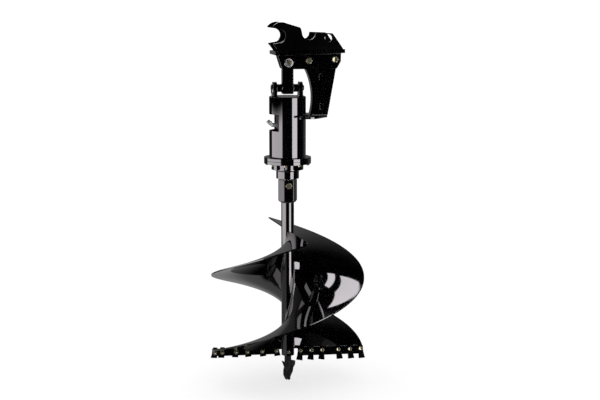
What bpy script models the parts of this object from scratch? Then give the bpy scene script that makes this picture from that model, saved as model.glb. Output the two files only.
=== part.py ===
"""Hydraulic earth auger: a double-start digging auger on a planetary drive, hung from a cradle hitch.

Metres, +Z up. The origin is the centre of the hitch's hook, where the machine's front pin sits.
+X runs along the hitch away from the hook's mouth, and Y runs across its two ears.
"""

import math

import bmesh
import bpy
from mathutils import Vector

GAP = 0.0003  # left between any two pieces that touch

# Hitch: two hook ears on a base plate, with a bracket and a cradle below it
SEAT_R = 0.040  # radius of the hook and of the rear pin seat
REAR_SEAT = (0.174, 0.017)  # x, z of the rear pin seat's centre
LIFT_HOLE = (0.288, -0.014)
LIFT_HOLE_R = 0.0225
EAR_OUTER_Y = 0.110
EAR_THICK = 0.022
BASE_TOP = -0.083
BASE_THICK = 0.022
BASE_SLOPE = 0.026  # rise of the base plate from the hook end to the lifting end
BASE_X = (-0.022, 0.386)
BRACKET_OUTER_Y = 0.042
BRACKET_THICK = 0.014
BRACKET_FOOT = -0.194
ARM_OUTER_Y = 0.0277
ARM_THICK = 0.008
ARM_FOOT = -0.463
ARM_TOP = -0.115
SLOT_CENTRES = ((0.258, -0.242), (0.264, -0.414))
SLOT_LENGTH = 0.038
SLOT_R = 0.009
CRADLE_BOLTS = ((0.186, -0.145), (0.340, -0.139))
CRADLE_BOLT_R = 0.010
SADDLE_THICK = 0.012
SADDLE_HALF_WIDTH = 0.158
SADDLE_MOUTH_HALF = 0.138
SADDLE_X = (0.113, 0.190, 0.296)  # arm tips, bottom of the mouth, back edge

# Pivots, all on the auger's axis
AXIS_X = 0.066
SWING_Z = -0.156
CROSS_Z = -0.304
SWING_PIN_R = 0.020
CROSS_PIN_R = 0.016
LINK_HALF_WIDTH = 0.0325
LINK_HALF_DEPTH = 0.025
LINK_FOOT = -0.339
CROSS_BOSS_R = 0.024
CROSS_BOSS_HALF = 0.062
CLEVIS_INNER_X = 0.065
CLEVIS_THICK = 0.022
CLEVIS_HALF_DEPTH = 0.038

# Motor hood and what it covers
HOOD_R = 0.108
HOOD_WALL = 0.005
HOOD_LID = 0.010
HOOD_TOP = -0.352
HOOD_FLANGE_TOP = -0.708
FLANGE_R = 0.139
FLANGE_THICK = 0.019
WINDOW_Z = (-0.552, -0.455)
WINDOW_EDGE = 0.065  # how far in front of the axis the window's plane of cut lies
MOTOR_R = 0.060
MOTOR_FOOT = -0.6334
MOTOR_HEAD = -0.545
BLOCK_HALF = 0.062
BLOCK_TOP = -0.465
END_CAP_R = 0.052
END_CAP_TOP = -0.430
PORT_Y = 0.032
PORT_Z = -0.520
ELBOW_R = 0.011

# Planetary gears
MODULE = 0.0045
SUN_TEETH = 12
PLANET_TEETH = 12
RING_TEETH = 36
ORBIT_R = MODULE * (SUN_TEETH + PLANET_TEETH) / 2
GEAR_Z = (-0.697, -0.653)
RING_Z = (-0.700, -0.650)
RING_R = 0.100
PLANET_COUNT = 3
PLANET_BORE_R = 0.0125
PRESSURE_ANGLE = math.radians(20)
BACKLASH = 0.00025

# Output housing, bearings and shaft
HOUSING_TOP = HOOD_FLANGE_TOP - FLANGE_THICK - GAP
HOUSING_STEP = -0.787
HOUSING_FOOT = -0.836
HOUSING_R = 0.0955
HOUSING_NOSE_R = 0.0676
SHAFT_R = 0.030
BEARING_WIDTH = 0.022

# Auger
HUB_TOP = -0.843
HUB_FOOT = -0.976
HUB_CORNER_R = 0.0572
SOCKET_CORNER_R = 0.0385
SOCKET_FLOOR = -0.950
HUB_BOLT_Z = -0.877
HUB_BOLT_R = 0.009
TUBE_R = 0.0381
TUBE_WALL = 0.008
AUGER_FOOT = -1.897  # height at which the flights' helices start
TUBE_FOOT = AUGER_FOOT - 0.015
FLIGHT_R = 0.457
FLIGHT_THICK = 0.008
FLIGHT_PITCH = 0.9402
FLIGHT_START = math.radians(-9.3)
FLIGHT_CUT = math.radians(6.3)  # part of the helix trimmed off to make room for the cutter bar
FLIGHT_SWEEP = math.radians(285)
FLIGHT_STEPS = 48
BAR_TILT = math.radians(25)
BAR_THICK = 0.012
BAR_HEIGHT = 0.050
BAR_INNER_R = 0.058
BAR_LEAD = 0.0134
BAR_MID_Z = 0.004
TOOTH_WIDTH = 0.034
TOOTH_THICK = 0.010
TOOTH_DROP = 0.030  # how far a tooth stands out below its bar
TEETH_LEAN = (9, 9, 9, -5, -5, -5)  # degrees towards the tube, from the innermost tooth out
TEETH_A = (0.072, 0.139, 0.205, 0.304, 0.374, 0.439)
TEETH_B = (0.066, 0.153, 0.243, 0.311, 0.395, 0.439)
PILOT_SHANK_R = 0.0295
PILOT_NECK = 0.0205
PILOT_TAPER_TOP = -0.104
PILOT_TIP = -0.176
PILOT_BOLT_Z = AUGER_FOOT + 0.009


# ---------------------------------------------------------------- scene and materials


def clear_scene():
    for obj in list(bpy.data.objects):
        bpy.data.objects.remove(obj, do_unlink=True)


def new_collection(name):
    collection = bpy.data.collections.new(name)
    bpy.context.scene.collection.children.link(collection)
    return collection


def principled(name, colour, roughness, metallic):
    material = bpy.data.materials.new(name)
    material.use_nodes = True
    shader = material.node_tree.nodes["Principled BSDF"]
    shader.inputs["Base Color"].default_value = (*colour, 1.0)
    shader.inputs["Roughness"].default_value = roughness
    shader.inputs["Metallic"].default_value = metallic
    material.diffuse_color = (*colour, 1.0)
    return material


clear_scene()
PARTS = new_collection("hydraulic_auger")
CUTTERS = new_collection("cutters")
CUTTERS.hide_render = True

BLACK_PAINT = ((0.012, 0.012, 0.013), 0.12, 0.0)
ZINC = ((0.62, 0.60, 0.46), 0.30, 1.0)
BRIGHT_STEEL = ((0.70, 0.70, 0.72), 0.25, 1.0)
GEAR_STEEL = ((0.42, 0.43, 0.45), 0.32, 1.0)
BARE_CAST = ((0.10, 0.10, 0.11), 0.45, 0.6)
BRONZE = ((0.60, 0.42, 0.20), 0.35, 1.0)
RUBBER = ((0.02, 0.02, 0.02), 0.80, 0.0)


def finish(obj, look, parent=None, at=(0, 0, 0)):
    """Gives the object its own material and its place, in its parent's frame."""
    obj.data.materials.clear()
    obj.data.materials.append(principled(obj.name + "_finish", *look))
    obj.parent = parent
    obj.location = at
    return obj


def pivot(name, world, parent=None):
    """An empty on a joint's axis. None of the pivots turns, so their offsets add up."""
    empty = bpy.data.objects.new(name, None)
    empty.empty_display_size = 0.05
    PARTS.objects.link(empty)
    empty.parent = parent
    empty["world"] = list(world)
    origin = Vector(parent["world"]) if parent else Vector()
    empty.location = Vector(world) - origin
    return empty


def local(parent, world):
    return Vector(world) - Vector(parent["world"])


# ---------------------------------------------------------------- shape tools


def arc(centre, radius, start, end, count):
    """Points on a circle, from one angle in degrees to another."""
    points = []
    for i in range(count + 1):
        angle = math.radians(start + (end - start) * i / count)
        points.append((centre[0] + radius * math.cos(angle), centre[1] + radius * math.sin(angle)))
    return points


def circle(centre, radius, count=24):
    return arc(centre, radius, 0, 360 * (count - 1) / count, count - 1)


def arc_through(a, b, c, count):
    """Points on the circle through a, b and c, from a to c."""
    ax, ay, bx, by, cx, cy = *a, *b, *c
    d = 2 * (ax * (by - cy) + bx * (cy - ay) + cx * (ay - by))
    sa, sb, sc = ax * ax + ay * ay, bx * bx + by * by, cx * cx + cy * cy
    ux = (sa * (by - cy) + sb * (cy - ay) + sc * (ay - by)) / d
    uy = (sa * (cx - bx) + sb * (ax - cx) + sc * (bx - ax)) / d
    start = math.degrees(math.atan2(ay - uy, ax - ux))
    end = math.degrees(math.atan2(cy - uy, cx - ux))
    if end - start > 180:
        end -= 360
    if start - end > 180:
        end += 360
    return arc((ux, uy), math.hypot(ax - ux, ay - uy), start, end, count)


def rounded(corners, count=5):
    """An outline from (x, y, radius) corners, each rounded to its radius."""
    points = []
    for i, (x, y, radius) in enumerate(corners):
        here = Vector((x, y))
        if radius == 0:
            points.append((x, y))
            continue
        before = (Vector(corners[i - 1][:2]) - here).normalized()
        after = (Vector(corners[(i + 1) % len(corners)][:2]) - here).normalized()
        half = before.angle(after) / 2
        centre = here + (before + after).normalized() * radius / math.sin(half)
        first = here + before * radius / math.tan(half)
        last = here + after * radius / math.tan(half)
        middle = centre + (here - centre).normalized() * radius
        points += arc_through(first, middle, last, count)
    return points


def obround(centre, length, radius, count=6):
    """A slot's outline, long in y."""
    reach = length / 2 - radius
    upper = arc((centre[0], centre[1] + reach), radius, 0, 180, count)
    lower = arc((centre[0], centre[1] - reach), radius, 180, 360, count)
    return upper + lower


def hexagon(corner_radius):
    return circle((0, 0), corner_radius, 6)


def mesh_object(name, mesh):
    obj = bpy.data.objects.new(name, mesh)
    PARTS.objects.link(obj)
    return obj


def soften(obj, angle=35):
    obj.data.shade_smooth()
    obj.data.set_sharp_from_angle(angle=math.radians(angle))
    return obj


def prism(name, outlines, low, high, along="Z"):
    """A flat outline, with any holes, raised between low and high.

    An outline's points are (x, y) along Z, (x, z) along Y, and (y, z) along X.
    """
    curve = bpy.data.curves.new(name, "CURVE")
    curve.dimensions = "2D"
    curve.fill_mode = "BOTH"
    curve.extrude = (high - low) / 2
    for outline in outlines:
        spline = curve.splines.new("POLY")
        spline.points.add(len(outline) - 1)
        for point, (x, y) in zip(spline.points, outline):
            point.co = (x, y, 0, 1)
        spline.use_cyclic_u = True
    flat = mesh_object(name, curve)
    graph = bpy.context.evaluated_depsgraph_get()
    mesh = bpy.data.meshes.new_from_object(flat.evaluated_get(graph))
    bpy.data.objects.remove(flat, do_unlink=True)
    mesh.name = name
    work = bmesh.new()
    work.from_mesh(mesh)
    bmesh.ops.remove_doubles(work, verts=work.verts, dist=1e-6)
    middle = (low + high) / 2
    for vert in work.verts:
        x, y, z = vert.co
        vert.co = {"Z": (x, y, z + middle), "Y": (x, middle - z, y), "X": (z + middle, x, y)}[along]
    bmesh.ops.recalc_face_normals(work, faces=work.faces)
    work.to_mesh(mesh)
    work.free()
    return soften(mesh_object(name, mesh))


def box(name, low, high):
    low, high = Vector(low), Vector(high)
    work = bmesh.new()
    bmesh.ops.create_cube(work, size=1)
    bmesh.ops.scale(work, vec=high - low, verts=work.verts)
    bmesh.ops.translate(work, vec=(high + low) / 2, verts=work.verts)
    mesh = bpy.data.meshes.new(name)
    work.to_mesh(mesh)
    work.free()
    return mesh_object(name, mesh)


def turned(name, profile, sides=40, ring=False, along="Z"):
    """A shape turned about an axis from (radius, height) points, which run down its outer side.

    With ring, the profile is closed on itself and never meets the axis.
    """
    mesh = bpy.data.meshes.new(name)
    points = [(radius, 0, height) for radius, height in profile]
    edges = [(i, i + 1) for i in range(len(points) - 1)]
    if ring:
        edges.append((len(points) - 1, 0))
    mesh.from_pydata(points, edges, [])
    obj = mesh_object(name, mesh)
    screw = obj.modifiers.new("Turn", "SCREW")
    screw.axis = "Z"
    screw.steps = sides
    screw.render_steps = sides
    screw.use_merge_vertices = True
    screw.merge_threshold = 0.00001
    screw.use_smooth_shade = True
    if along == "Y":
        obj.rotation_euler.x = math.radians(-90)
    if along == "X":
        obj.rotation_euler.y = math.radians(90)
    return obj


def rod(name, radius, low, high, sides=32, along="Z"):
    """A plain round bar, its height measured along its axis."""
    return turned(name, ((0, high), (radius, high), (radius, low), (0, low)), sides, along=along)


def collar(name, outer, inner, low, high, sides=40, along="Z"):
    """A plain round ring or sleeve."""
    profile = ((outer, high), (outer, low), (inner, low), (inner, high))
    return turned(name, profile, sides, ring=True, along=along)


def boolean(obj, other, operation):
    """Cuts or joins with another object, which moves to the cutters' collection."""
    for collection in list(other.users_collection):
        collection.objects.unlink(other)
    CUTTERS.objects.link(other)
    other.hide_render = True
    other.display_type = "WIRE"
    modifier = obj.modifiers.new(other.name, "BOOLEAN")
    modifier.operation = operation
    modifier.solver = "EXACT"
    modifier.object = other
    return obj


def cut(obj, other, at=(0, 0, 0)):
    other.location = at
    return boolean(obj, other, "DIFFERENCE")


def join(obj, other, at=(0, 0, 0)):
    other.location = at
    return boolean(obj, other, "UNION")


# ---------------------------------------------------------------- hitch


def base_level(x, offset=0.0):
    """Height of the sloping base plate's top, or of a level beside it, at a distance along the ears."""
    return BASE_TOP + BASE_SLOPE * (x - (BASE_X[0] + BASE_X[1]) / 2) + offset


def ear_outline():
    """Hook, rear pin seat and lifting-eye end of one ear, anticlockwise from its lower front corner."""
    seat_start = (REAR_SEAT[0] + SEAT_R, REAR_SEAT[1])
    crown = arc((0.015, 0.018), 0.060, 70, 146, 8)
    rear_end = rounded(((0.373, base_level(0.373, GAP), 0), (0.373, -0.072, 0), (0.313, 0.014, 0.014), (0.214, 0.018, 0)))
    shoulder = rounded(((0.134, 0.017, 0), (0.126, 0.047, 0.014), (0.076, 0.062, 0)))[:-1]
    return (
        [(-0.002, base_level(-0.002, GAP))]
        + rear_end[:-1]
        + [seat_start]
        + arc(REAR_SEAT, SEAT_R, 0, -180, 12)[1:]
        + shoulder[1:]
        + crown
        + [(-0.036, 0.045)]
        + arc((0, 0), SEAT_R, 90, -90, 14)
        + [(-0.034, -0.046)]
    )


def build_hitch(root):
    for side, sign in (("front", -1), ("rear", 1)):
        outer = sign * EAR_OUTER_Y
        inner = sign * (EAR_OUTER_Y - EAR_THICK)
        ear = prism(
            f"hook_ear_{side}",
            (ear_outline(), circle(LIFT_HOLE, LIFT_HOLE_R, 20)),
            min(outer, inner),
            max(outer, inner),
            "Y",
        )
        finish(ear, BLACK_PAINT, root)

    start, end = BASE_X
    outline = (
        (start, base_level(start, -BASE_THICK)),
        (end, base_level(end, -BASE_THICK)),
        (end, base_level(end)),
        (start, base_level(start)),
    )
    finish(prism("base_plate", (outline,), -EAR_OUTER_Y, EAR_OUTER_Y, "Y"), BLACK_PAINT, root)
    build_bracket(root)
    build_cradle(root)
    build_hitch_pins(root)


def build_bracket(root):
    under = -BASE_THICK - GAP
    corners = (
        (0.002, base_level(0.002, under), 0),
        (0.028, BRACKET_FOOT, 0.016),
        (0.351, BRACKET_FOOT, 0.020),
        (0.376, -0.150, 0.012),
        (0.377, base_level(0.377, under), 0),
    )
    pin_hole = circle((AXIS_X, SWING_Z), SWING_PIN_R + GAP, 28)
    bolt_holes = [circle(centre, CRADLE_BOLT_R + GAP, 20) for centre in CRADLE_BOLTS]
    for side, sign in (("front", -1), ("rear", 1)):
        outer = sign * BRACKET_OUTER_Y
        inner = sign * (BRACKET_OUTER_Y - BRACKET_THICK)
        plate = prism(
            f"bracket_plate_{side}",
            (rounded(corners), pin_hole, *bolt_holes),
            min(outer, inner),
            max(outer, inner),
            "Y",
        )
        finish(plate, BLACK_PAINT, root)


def arm_front(offset):
    """The cradle arm's front edge, bowed away from the motor, at an offset into the arm."""
    bow = arc_through((0.170, -0.198), (0.208, -0.357), (0.194, ARM_FOOT), 10)
    return [(x + offset, z) for x, z in [(0.160, ARM_TOP - 0.008)] + bow]


def arm_back(offset):
    edge = [(0.363, ARM_TOP - 0.008), (0.349, -0.195), (0.301, ARM_FOOT)]
    return [(x - offset, z) for x, z in edge]


def build_cradle(root):
    outline = (
        [(0.352, ARM_TOP), (0.171, ARM_TOP)] + arm_front(0) + list(reversed(arm_back(0)))
    )
    bolt_holes = [circle(centre, CRADLE_BOLT_R + GAP, 20) for centre in CRADLE_BOLTS]
    slots = [obround(centre, SLOT_LENGTH, SLOT_R) for centre in SLOT_CENTRES]
    for side, sign, holes in (("front", -1, bolt_holes + slots), ("rear", 1, bolt_holes)):
        outer = sign * ARM_OUTER_Y
        inner = sign * (ARM_OUTER_Y - ARM_THICK)
        plate = prism(
            f"cradle_side_{side}", (outline, *holes), min(outer, inner), max(outer, inner), "Y"
        )
        finish(plate, BLACK_PAINT, root)

    reach = ARM_OUTER_Y - ARM_THICK - GAP
    # The webs stop below the bolts, so that the bolts pass through an open box.
    front = arm_front(0)[1:] + list(reversed(arm_front(ARM_THICK)[1:]))
    finish(prism("cradle_web_front", (front,), -reach, reach, "Y"), BLACK_PAINT, root)
    back = arm_back(0)[1:] + list(reversed(arm_back(ARM_THICK)[1:]))
    finish(prism("cradle_web_back", (back,), -reach, reach, "Y"), BLACK_PAINT, root)

    tip, mouth, rear = SADDLE_X
    wide, open_half = SADDLE_HALF_WIDTH, SADDLE_MOUTH_HALF
    outline = rounded(
        (
            (tip, open_half, 0.006),
            (mouth, open_half, 0.060),
            (mouth, -open_half, 0.060),
            (tip, -open_half, 0.006),
            (tip, -wide, 0.008),
            (0.205, -wide, 0.070),
            (rear, -0.045, 0.020),
            (rear, 0.045, 0.020),
            (0.205, wide, 0.070),
            (tip, wide, 0.008),
        ),
        7,
    )
    top = ARM_FOOT - GAP
    finish(prism("saddle_plate", (outline,), top - SADDLE_THICK, top), BLACK_PAINT, root)
    pad = box("saddle_pad", (mouth - 0.009, -0.055, top - 0.022), (mouth - GAP, 0.055, top))
    finish(pad, RUBBER, root)


def build_hitch_pins(root):
    face = BRACKET_OUTER_Y + GAP
    head = (
        (0, face + 0.011),
        (0.0145, face + 0.011),
        (0.0145, face + 0.007),
        (0.0265, face + 0.007),
        (0.0265, face),
        (SWING_PIN_R, face),
        (SWING_PIN_R, -face - 0.014),
        (0, -face - 0.014),
    )
    pin = turned("swing_pin", head, 28, along="Y")
    # The head faces -Y.
    pin.rotation_euler.x = math.radians(90)
    finish(pin, BRIGHT_STEEL, root, (AXIS_X, 0, SWING_Z))
    keeper = collar("swing_pin_collar", 0.030, SWING_PIN_R + GAP, face, face + 0.010, 32, "Y")
    finish(keeper, BRIGHT_STEEL, root, (AXIS_X, 0, SWING_Z))

    for name, (x, z) in zip(("cradle_bolt_upper", "cradle_bolt_rear"), CRADLE_BOLTS):
        shank = rod(name, CRADLE_BOLT_R, -face - 0.012, face + 0.015, 24, "Y")
        for low, high, label in ((face, face + 0.011, "nut"), (-face - 0.011, -face, "head")):
            join(shank, prism(f"{name}_{label}", (hexagon(0.018),), low, high, "Y"), (x, 0, z))
        finish(shank, ZINC, root, (x, 0, z))


# ---------------------------------------------------------------- swinging link


def build_link(swing):
    low = CROSS_Z - 0.035
    outline = (
        arc((AXIS_X, SWING_Z), LINK_HALF_WIDTH, 0, 180, 14)
        + rounded(
            (
                (AXIS_X - LINK_HALF_WIDTH, SWING_Z - 0.001, 0),
                (AXIS_X - LINK_HALF_WIDTH, low, 0.005),
                (AXIS_X + LINK_HALF_WIDTH, low, 0.005),
                (AXIS_X + LINK_HALF_WIDTH, SWING_Z - 0.001, 0),
            ),
            3,
        )
    )
    hole = circle((AXIS_X, SWING_Z), 0.024 + GAP, 28)
    link = prism("swing_link", (outline, hole), -LINK_HALF_DEPTH, LINK_HALF_DEPTH, "Y")
    boss = rod("link_boss", CROSS_BOSS_R, -CROSS_BOSS_HALF, CROSS_BOSS_HALF, 32, "X")
    join(link, boss, (AXIS_X, 0, CROSS_Z))
    bore = rod("link_bore", 0.0190 + GAP, -CROSS_BOSS_HALF - 0.01, CROSS_BOSS_HALF + 0.01, 32, "X")
    cut(link, bore, (AXIS_X, 0, CROSS_Z))
    finish(link, BLACK_PAINT, swing, -Vector(swing["world"]))

    bush = collar("swing_bush", 0.024, SWING_PIN_R + GAP, -LINK_HALF_DEPTH, LINK_HALF_DEPTH, 28, "Y")
    finish(bush, BRONZE, swing)
    sleeve = collar("cross_bush", 0.0190, CROSS_PIN_R + GAP, -CROSS_BOSS_HALF, CROSS_BOSS_HALF, 28, "X")
    finish(sleeve, BRONZE, swing, local(swing, (AXIS_X, 0, CROSS_Z)))


# ---------------------------------------------------------------- drive unit


def build_drive(side):
    at = -Vector(side["world"])
    build_clevis(side)
    build_hood(side, at)
    build_motor(side, at)
    build_gearbox(side, at)


def build_clevis(side):
    top = -0.266 - CROSS_Z
    foot = HOOD_TOP + GAP - CROSS_Z
    depth = CLEVIS_HALF_DEPTH
    outline = arc((0, top - depth), depth, 0, 180, 14) + [(-depth, foot), (depth, foot)]
    hole = circle((0, 0), CROSS_PIN_R + GAP, 24)
    inner, outer = CLEVIS_INNER_X, CLEVIS_INNER_X + CLEVIS_THICK
    for name, low, high in (("left", -outer, -inner), ("right", inner, outer)):
        ear = prism(f"clevis_ear_{name}", (outline, hole), low, high, "X")
        finish(ear, BLACK_PAINT, side)
    finish(rod("cross_pin", CROSS_PIN_R, -outer - 0.011, outer + 0.010, 28, "X"), ZINC, side)

    major, minor = 0.028, 0.0035
    bpy.ops.mesh.primitive_torus_add(
        major_radius=major, minor_radius=minor, major_segments=24, minor_segments=6
    )
    linch = bpy.context.active_object
    linch.name = "linch_ring"
    for collection in list(linch.users_collection):
        collection.objects.unlink(linch)
    PARTS.objects.link(linch)
    linch.rotation_euler.y = math.radians(90)
    # The ring hangs round the pin's end, its bore just over the pin's top.
    finish(soften(linch), BRIGHT_STEEL, side, (-outer - 0.0045, 0, CROSS_PIN_R + 0.0005 - major + minor))


def build_hood(side, at):
    inner = HOOD_R - HOOD_WALL
    foot = HOOD_FLANGE_TOP - FLANGE_THICK
    profile = (
        (0, HOOD_TOP),
        (HOOD_R - 0.006, HOOD_TOP),
        (HOOD_R - 0.0018, HOOD_TOP - 0.0018),
        (HOOD_R, HOOD_TOP - 0.006),
        (HOOD_R, HOOD_FLANGE_TOP),
        (FLANGE_R - 0.002, HOOD_FLANGE_TOP),
        (FLANGE_R, HOOD_FLANGE_TOP - 0.002),
        (FLANGE_R, foot),
        (inner, foot),
        (inner, HOOD_TOP - HOOD_LID),
        (0, HOOD_TOP - HOOD_LID),
    )
    hood = turned("motor_hood", profile, 40)
    window = box(
        "window_cutter",
        (-HOOD_R - 0.02, -HOOD_R, WINDOW_Z[0]),
        (-WINDOW_EDGE, HOOD_R, WINDOW_Z[1]),
    )
    cut(hood, window, (AXIS_X, 0, 0))
    finish(hood, BLACK_PAINT, side, at + Vector((AXIS_X, 0, 0)))


def build_motor(side, at):
    centre = at + Vector((AXIS_X, 0, 0))
    body = (
        (0, MOTOR_HEAD),
        (MOTOR_R, MOTOR_HEAD),
        (MOTOR_R, MOTOR_FOOT + 0.014),
        (0.078, MOTOR_FOOT + 0.014),
        (0.078, MOTOR_FOOT),
        (0.0160, MOTOR_FOOT),
        (0.0160, MOTOR_FOOT + 0.060),
        (0, MOTOR_FOOT + 0.060),
    )
    finish(turned("motor_body", body, 28), BARE_CAST, side, centre)

    half = BLOCK_HALF
    block_outline = rounded(
        ((half, half, 0.012), (-half, half, 0.012), (-half, -half, 0.012), (half, -half, 0.012)), 3
    )
    block = prism("motor_port_block", (block_outline,), MOTOR_HEAD + GAP, BLOCK_TOP)
    finish(block, BARE_CAST, side, centre)
    cap = (
        (0, END_CAP_TOP),
        (END_CAP_R - 0.006, END_CAP_TOP),
        (END_CAP_R, END_CAP_TOP - 0.006),
        (END_CAP_R, BLOCK_TOP + GAP),
        (0, BLOCK_TOP + GAP),
    )
    finish(turned("motor_end_cap", cap, 32), BARE_CAST, side, centre)

    start = AXIS_X - BLOCK_HALF - GAP
    for name, y in (("pressure", -PORT_Y), ("return", PORT_Y)):
        route = ((start, PORT_Z), (start - 0.022, PORT_Z), (start - 0.034, PORT_Z + 0.005), (start - 0.051, PORT_Z + 0.022))
        curve = bpy.data.curves.new(f"port_elbow_{name}", "CURVE")
        curve.dimensions = "3D"
        curve.bevel_depth = ELBOW_R
        curve.bevel_resolution = 3
        curve.use_fill_caps = True
        spline = curve.splines.new("POLY")
        spline.points.add(len(route) - 1)
        for point, (x, z) in zip(spline.points, route):
            point.co = (x, y, z, 1)
        elbow = mesh_object(curve.name, curve)
        finish(elbow, BRIGHT_STEEL, side, at)


def involute(base, radius):
    """The angle that an involute has turned through where it reaches a radius."""
    ratio = max(radius / base, 1.0)
    roll = math.sqrt(ratio * ratio - 1)
    return roll - math.atan(roll)


def gear_outline(teeth, tip, root, widen, phase=0.0, flank_points=4):
    """An involute gear's outline. A negative widen leaves backlash, and a positive one widens each tooth."""
    pitch_r = MODULE * teeth / 2
    base = pitch_r * math.cos(PRESSURE_ANGLE)
    half_at_pitch = math.pi / (2 * teeth) + widen / pitch_r
    flank_start = max(base, root)
    radii = [flank_start + (tip - flank_start) * i / (flank_points - 1) for i in range(flank_points)]
    flank = [(r, half_at_pitch + involute(base, pitch_r) - involute(base, r)) for r in radii]
    if root < base:
        flank.insert(0, (root, flank[0][1]))
    points = []
    for i in range(teeth):
        centre = math.tau * i / teeth + phase
        for radius, half in flank:
            points.append((radius * math.cos(centre - half), radius * math.sin(centre - half)))
        for radius, half in reversed(flank):
            points.append((radius * math.cos(centre + half), radius * math.sin(centre + half)))
    return points


def outer_gear(teeth, phase):
    pitch_r = MODULE * teeth / 2
    return gear_outline(teeth, pitch_r + 0.9 * MODULE, pitch_r - 1.2 * MODULE, -BACKLASH, phase)


def build_gearbox(side, at):
    centre = at + Vector((AXIS_X, 0, 0))
    pitch_r = MODULE * RING_TEETH / 2
    # A tooth of the ring faces each planet, so the spaces start half a pitch round.
    spaces = gear_outline(
        RING_TEETH,
        pitch_r + 1.2 * MODULE,
        pitch_r - 0.75 * MODULE,
        BACKLASH,
        math.pi / RING_TEETH,
        3,
    )
    ring = prism("ring_gear", (circle((0, 0), RING_R, 48), spaces), *RING_Z)
    finish(ring, GEAR_STEEL, side, centre)

    cover = collar("gearbox_cover", RING_R, 0.022, RING_Z[1] + GAP, MOTOR_FOOT - GAP, 40)
    finish(cover, BARE_CAST, side, centre)

    bore = SHAFT_R + 0.008
    upper_seat = HOUSING_TOP - 0.004 - BEARING_WIDTH
    lower_seat = HOUSING_FOOT + 0.014
    profile = (
        (RING_R, RING_Z[0] - GAP),
        (RING_R, HOUSING_TOP),
        (FLANGE_R, HOUSING_TOP),
        (FLANGE_R, HOUSING_TOP - FLANGE_THICK),
        (HOUSING_R, HOUSING_TOP - FLANGE_THICK),
        (HOUSING_R, HOUSING_STEP),
        (HOUSING_NOSE_R, HOUSING_STEP),
        (HOUSING_NOSE_R, HOUSING_FOOT),
        (0.046, HOUSING_FOOT),
        (0.046, lower_seat - GAP),
        (0.052, lower_seat - GAP),
        (0.052, lower_seat + BEARING_WIDTH + GAP),
        (bore, lower_seat + BEARING_WIDTH + GAP),
        (bore, upper_seat - GAP),
        (0.056, upper_seat - GAP),
        (0.056, HOUSING_TOP - 0.004),
        (0.090, HOUSING_TOP - 0.004),
        (0.090, RING_Z[0] - GAP),
    )
    housing = turned("output_housing", profile, 32, ring=True)
    finish(housing, BLACK_PAINT, side, centre)
    inner = SHAFT_R + GAP
    upper = collar("upper_bearing", 0.056 - GAP, inner, upper_seat, upper_seat + BEARING_WIDTH, 36)
    finish(upper, GEAR_STEEL, side, centre)
    lower = collar("lower_bearing", 0.052 - GAP, inner, lower_seat, lower_seat + BEARING_WIDTH, 36)
    finish(lower, GEAR_STEEL, side, centre)
    seal = collar("shaft_seal", 0.046 - GAP, inner, HOUSING_FOOT + 0.001, HOUSING_FOOT + 0.011, 36)
    finish(seal, RUBBER, side, centre)


def build_sun(sun):
    centre = -Vector(sun["world"]) + Vector((AXIS_X, 0, 0))
    gear = prism("sun_gear_shaft", (outer_gear(SUN_TEETH, 0),), *GEAR_Z)
    shaft = rod("sun_shaft", 0.0150, GEAR_Z[1] - 0.02, MOTOR_FOOT + 0.055, 24)
    join(gear, shaft, (AXIS_X, 0, 0))
    finish(gear, GEAR_STEEL, sun, centre)


def build_planets(planets):
    for i, planet in enumerate(planets):
        # The planet's spaces, half a pitch off its teeth, face the sun and the ring.
        phase = math.tau * i / PLANET_COUNT + math.pi / PLANET_TEETH
        outlines = (outer_gear(PLANET_TEETH, phase), circle((0, 0), PLANET_BORE_R, 20))
        gear = prism(f"planet_gear_{i + 1}", outlines, *GEAR_Z)
        finish(gear, GEAR_STEEL, planet, local(planet, (planet["world"][0], planet["world"][1], 0)))


# ---------------------------------------------------------------- auger


def planet_place(i):
    angle = math.tau * i / PLANET_COUNT
    return (AXIS_X + ORBIT_R * math.cos(angle), ORBIT_R * math.sin(angle), GEAR_Z[0])


def build_carrier(spin, centre):
    disc_top = GEAR_Z[0] - 0.001
    disc_foot = HOUSING_TOP - 0.002
    profile = (
        (0, disc_top),
        (0.076, disc_top),
        (0.076, disc_foot),
        (SHAFT_R, disc_foot),
        (SHAFT_R, HUB_TOP - 0.001),
        (0, HUB_TOP - 0.001),
    )
    shaft = turned("planet_carrier_shaft", profile, 36)
    spline = prism("shaft_hexagon", (hexagon(SOCKET_CORNER_R - 0.0007),), SOCKET_FLOOR + 0.001, HUB_TOP + 0.003)
    join(shaft, spline, (AXIS_X, 0, 0))
    for i in range(PLANET_COUNT):
        x, y, _ = planet_place(i)
        axle = rod(f"planet_axle_{i + 1}", PLANET_BORE_R - 0.0003, disc_top - 0.01, GEAR_Z[1] + 0.001, 20)
        join(shaft, axle, (x, y, 0))
    cross = rod("shaft_cross_bore", HUB_BOLT_R + GAP, -0.06, 0.06, 20, "Y")
    cut(shaft, cross, (AXIS_X, 0, HUB_BOLT_Z))
    finish(shaft, GEAR_STEEL, spin, centre)


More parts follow.
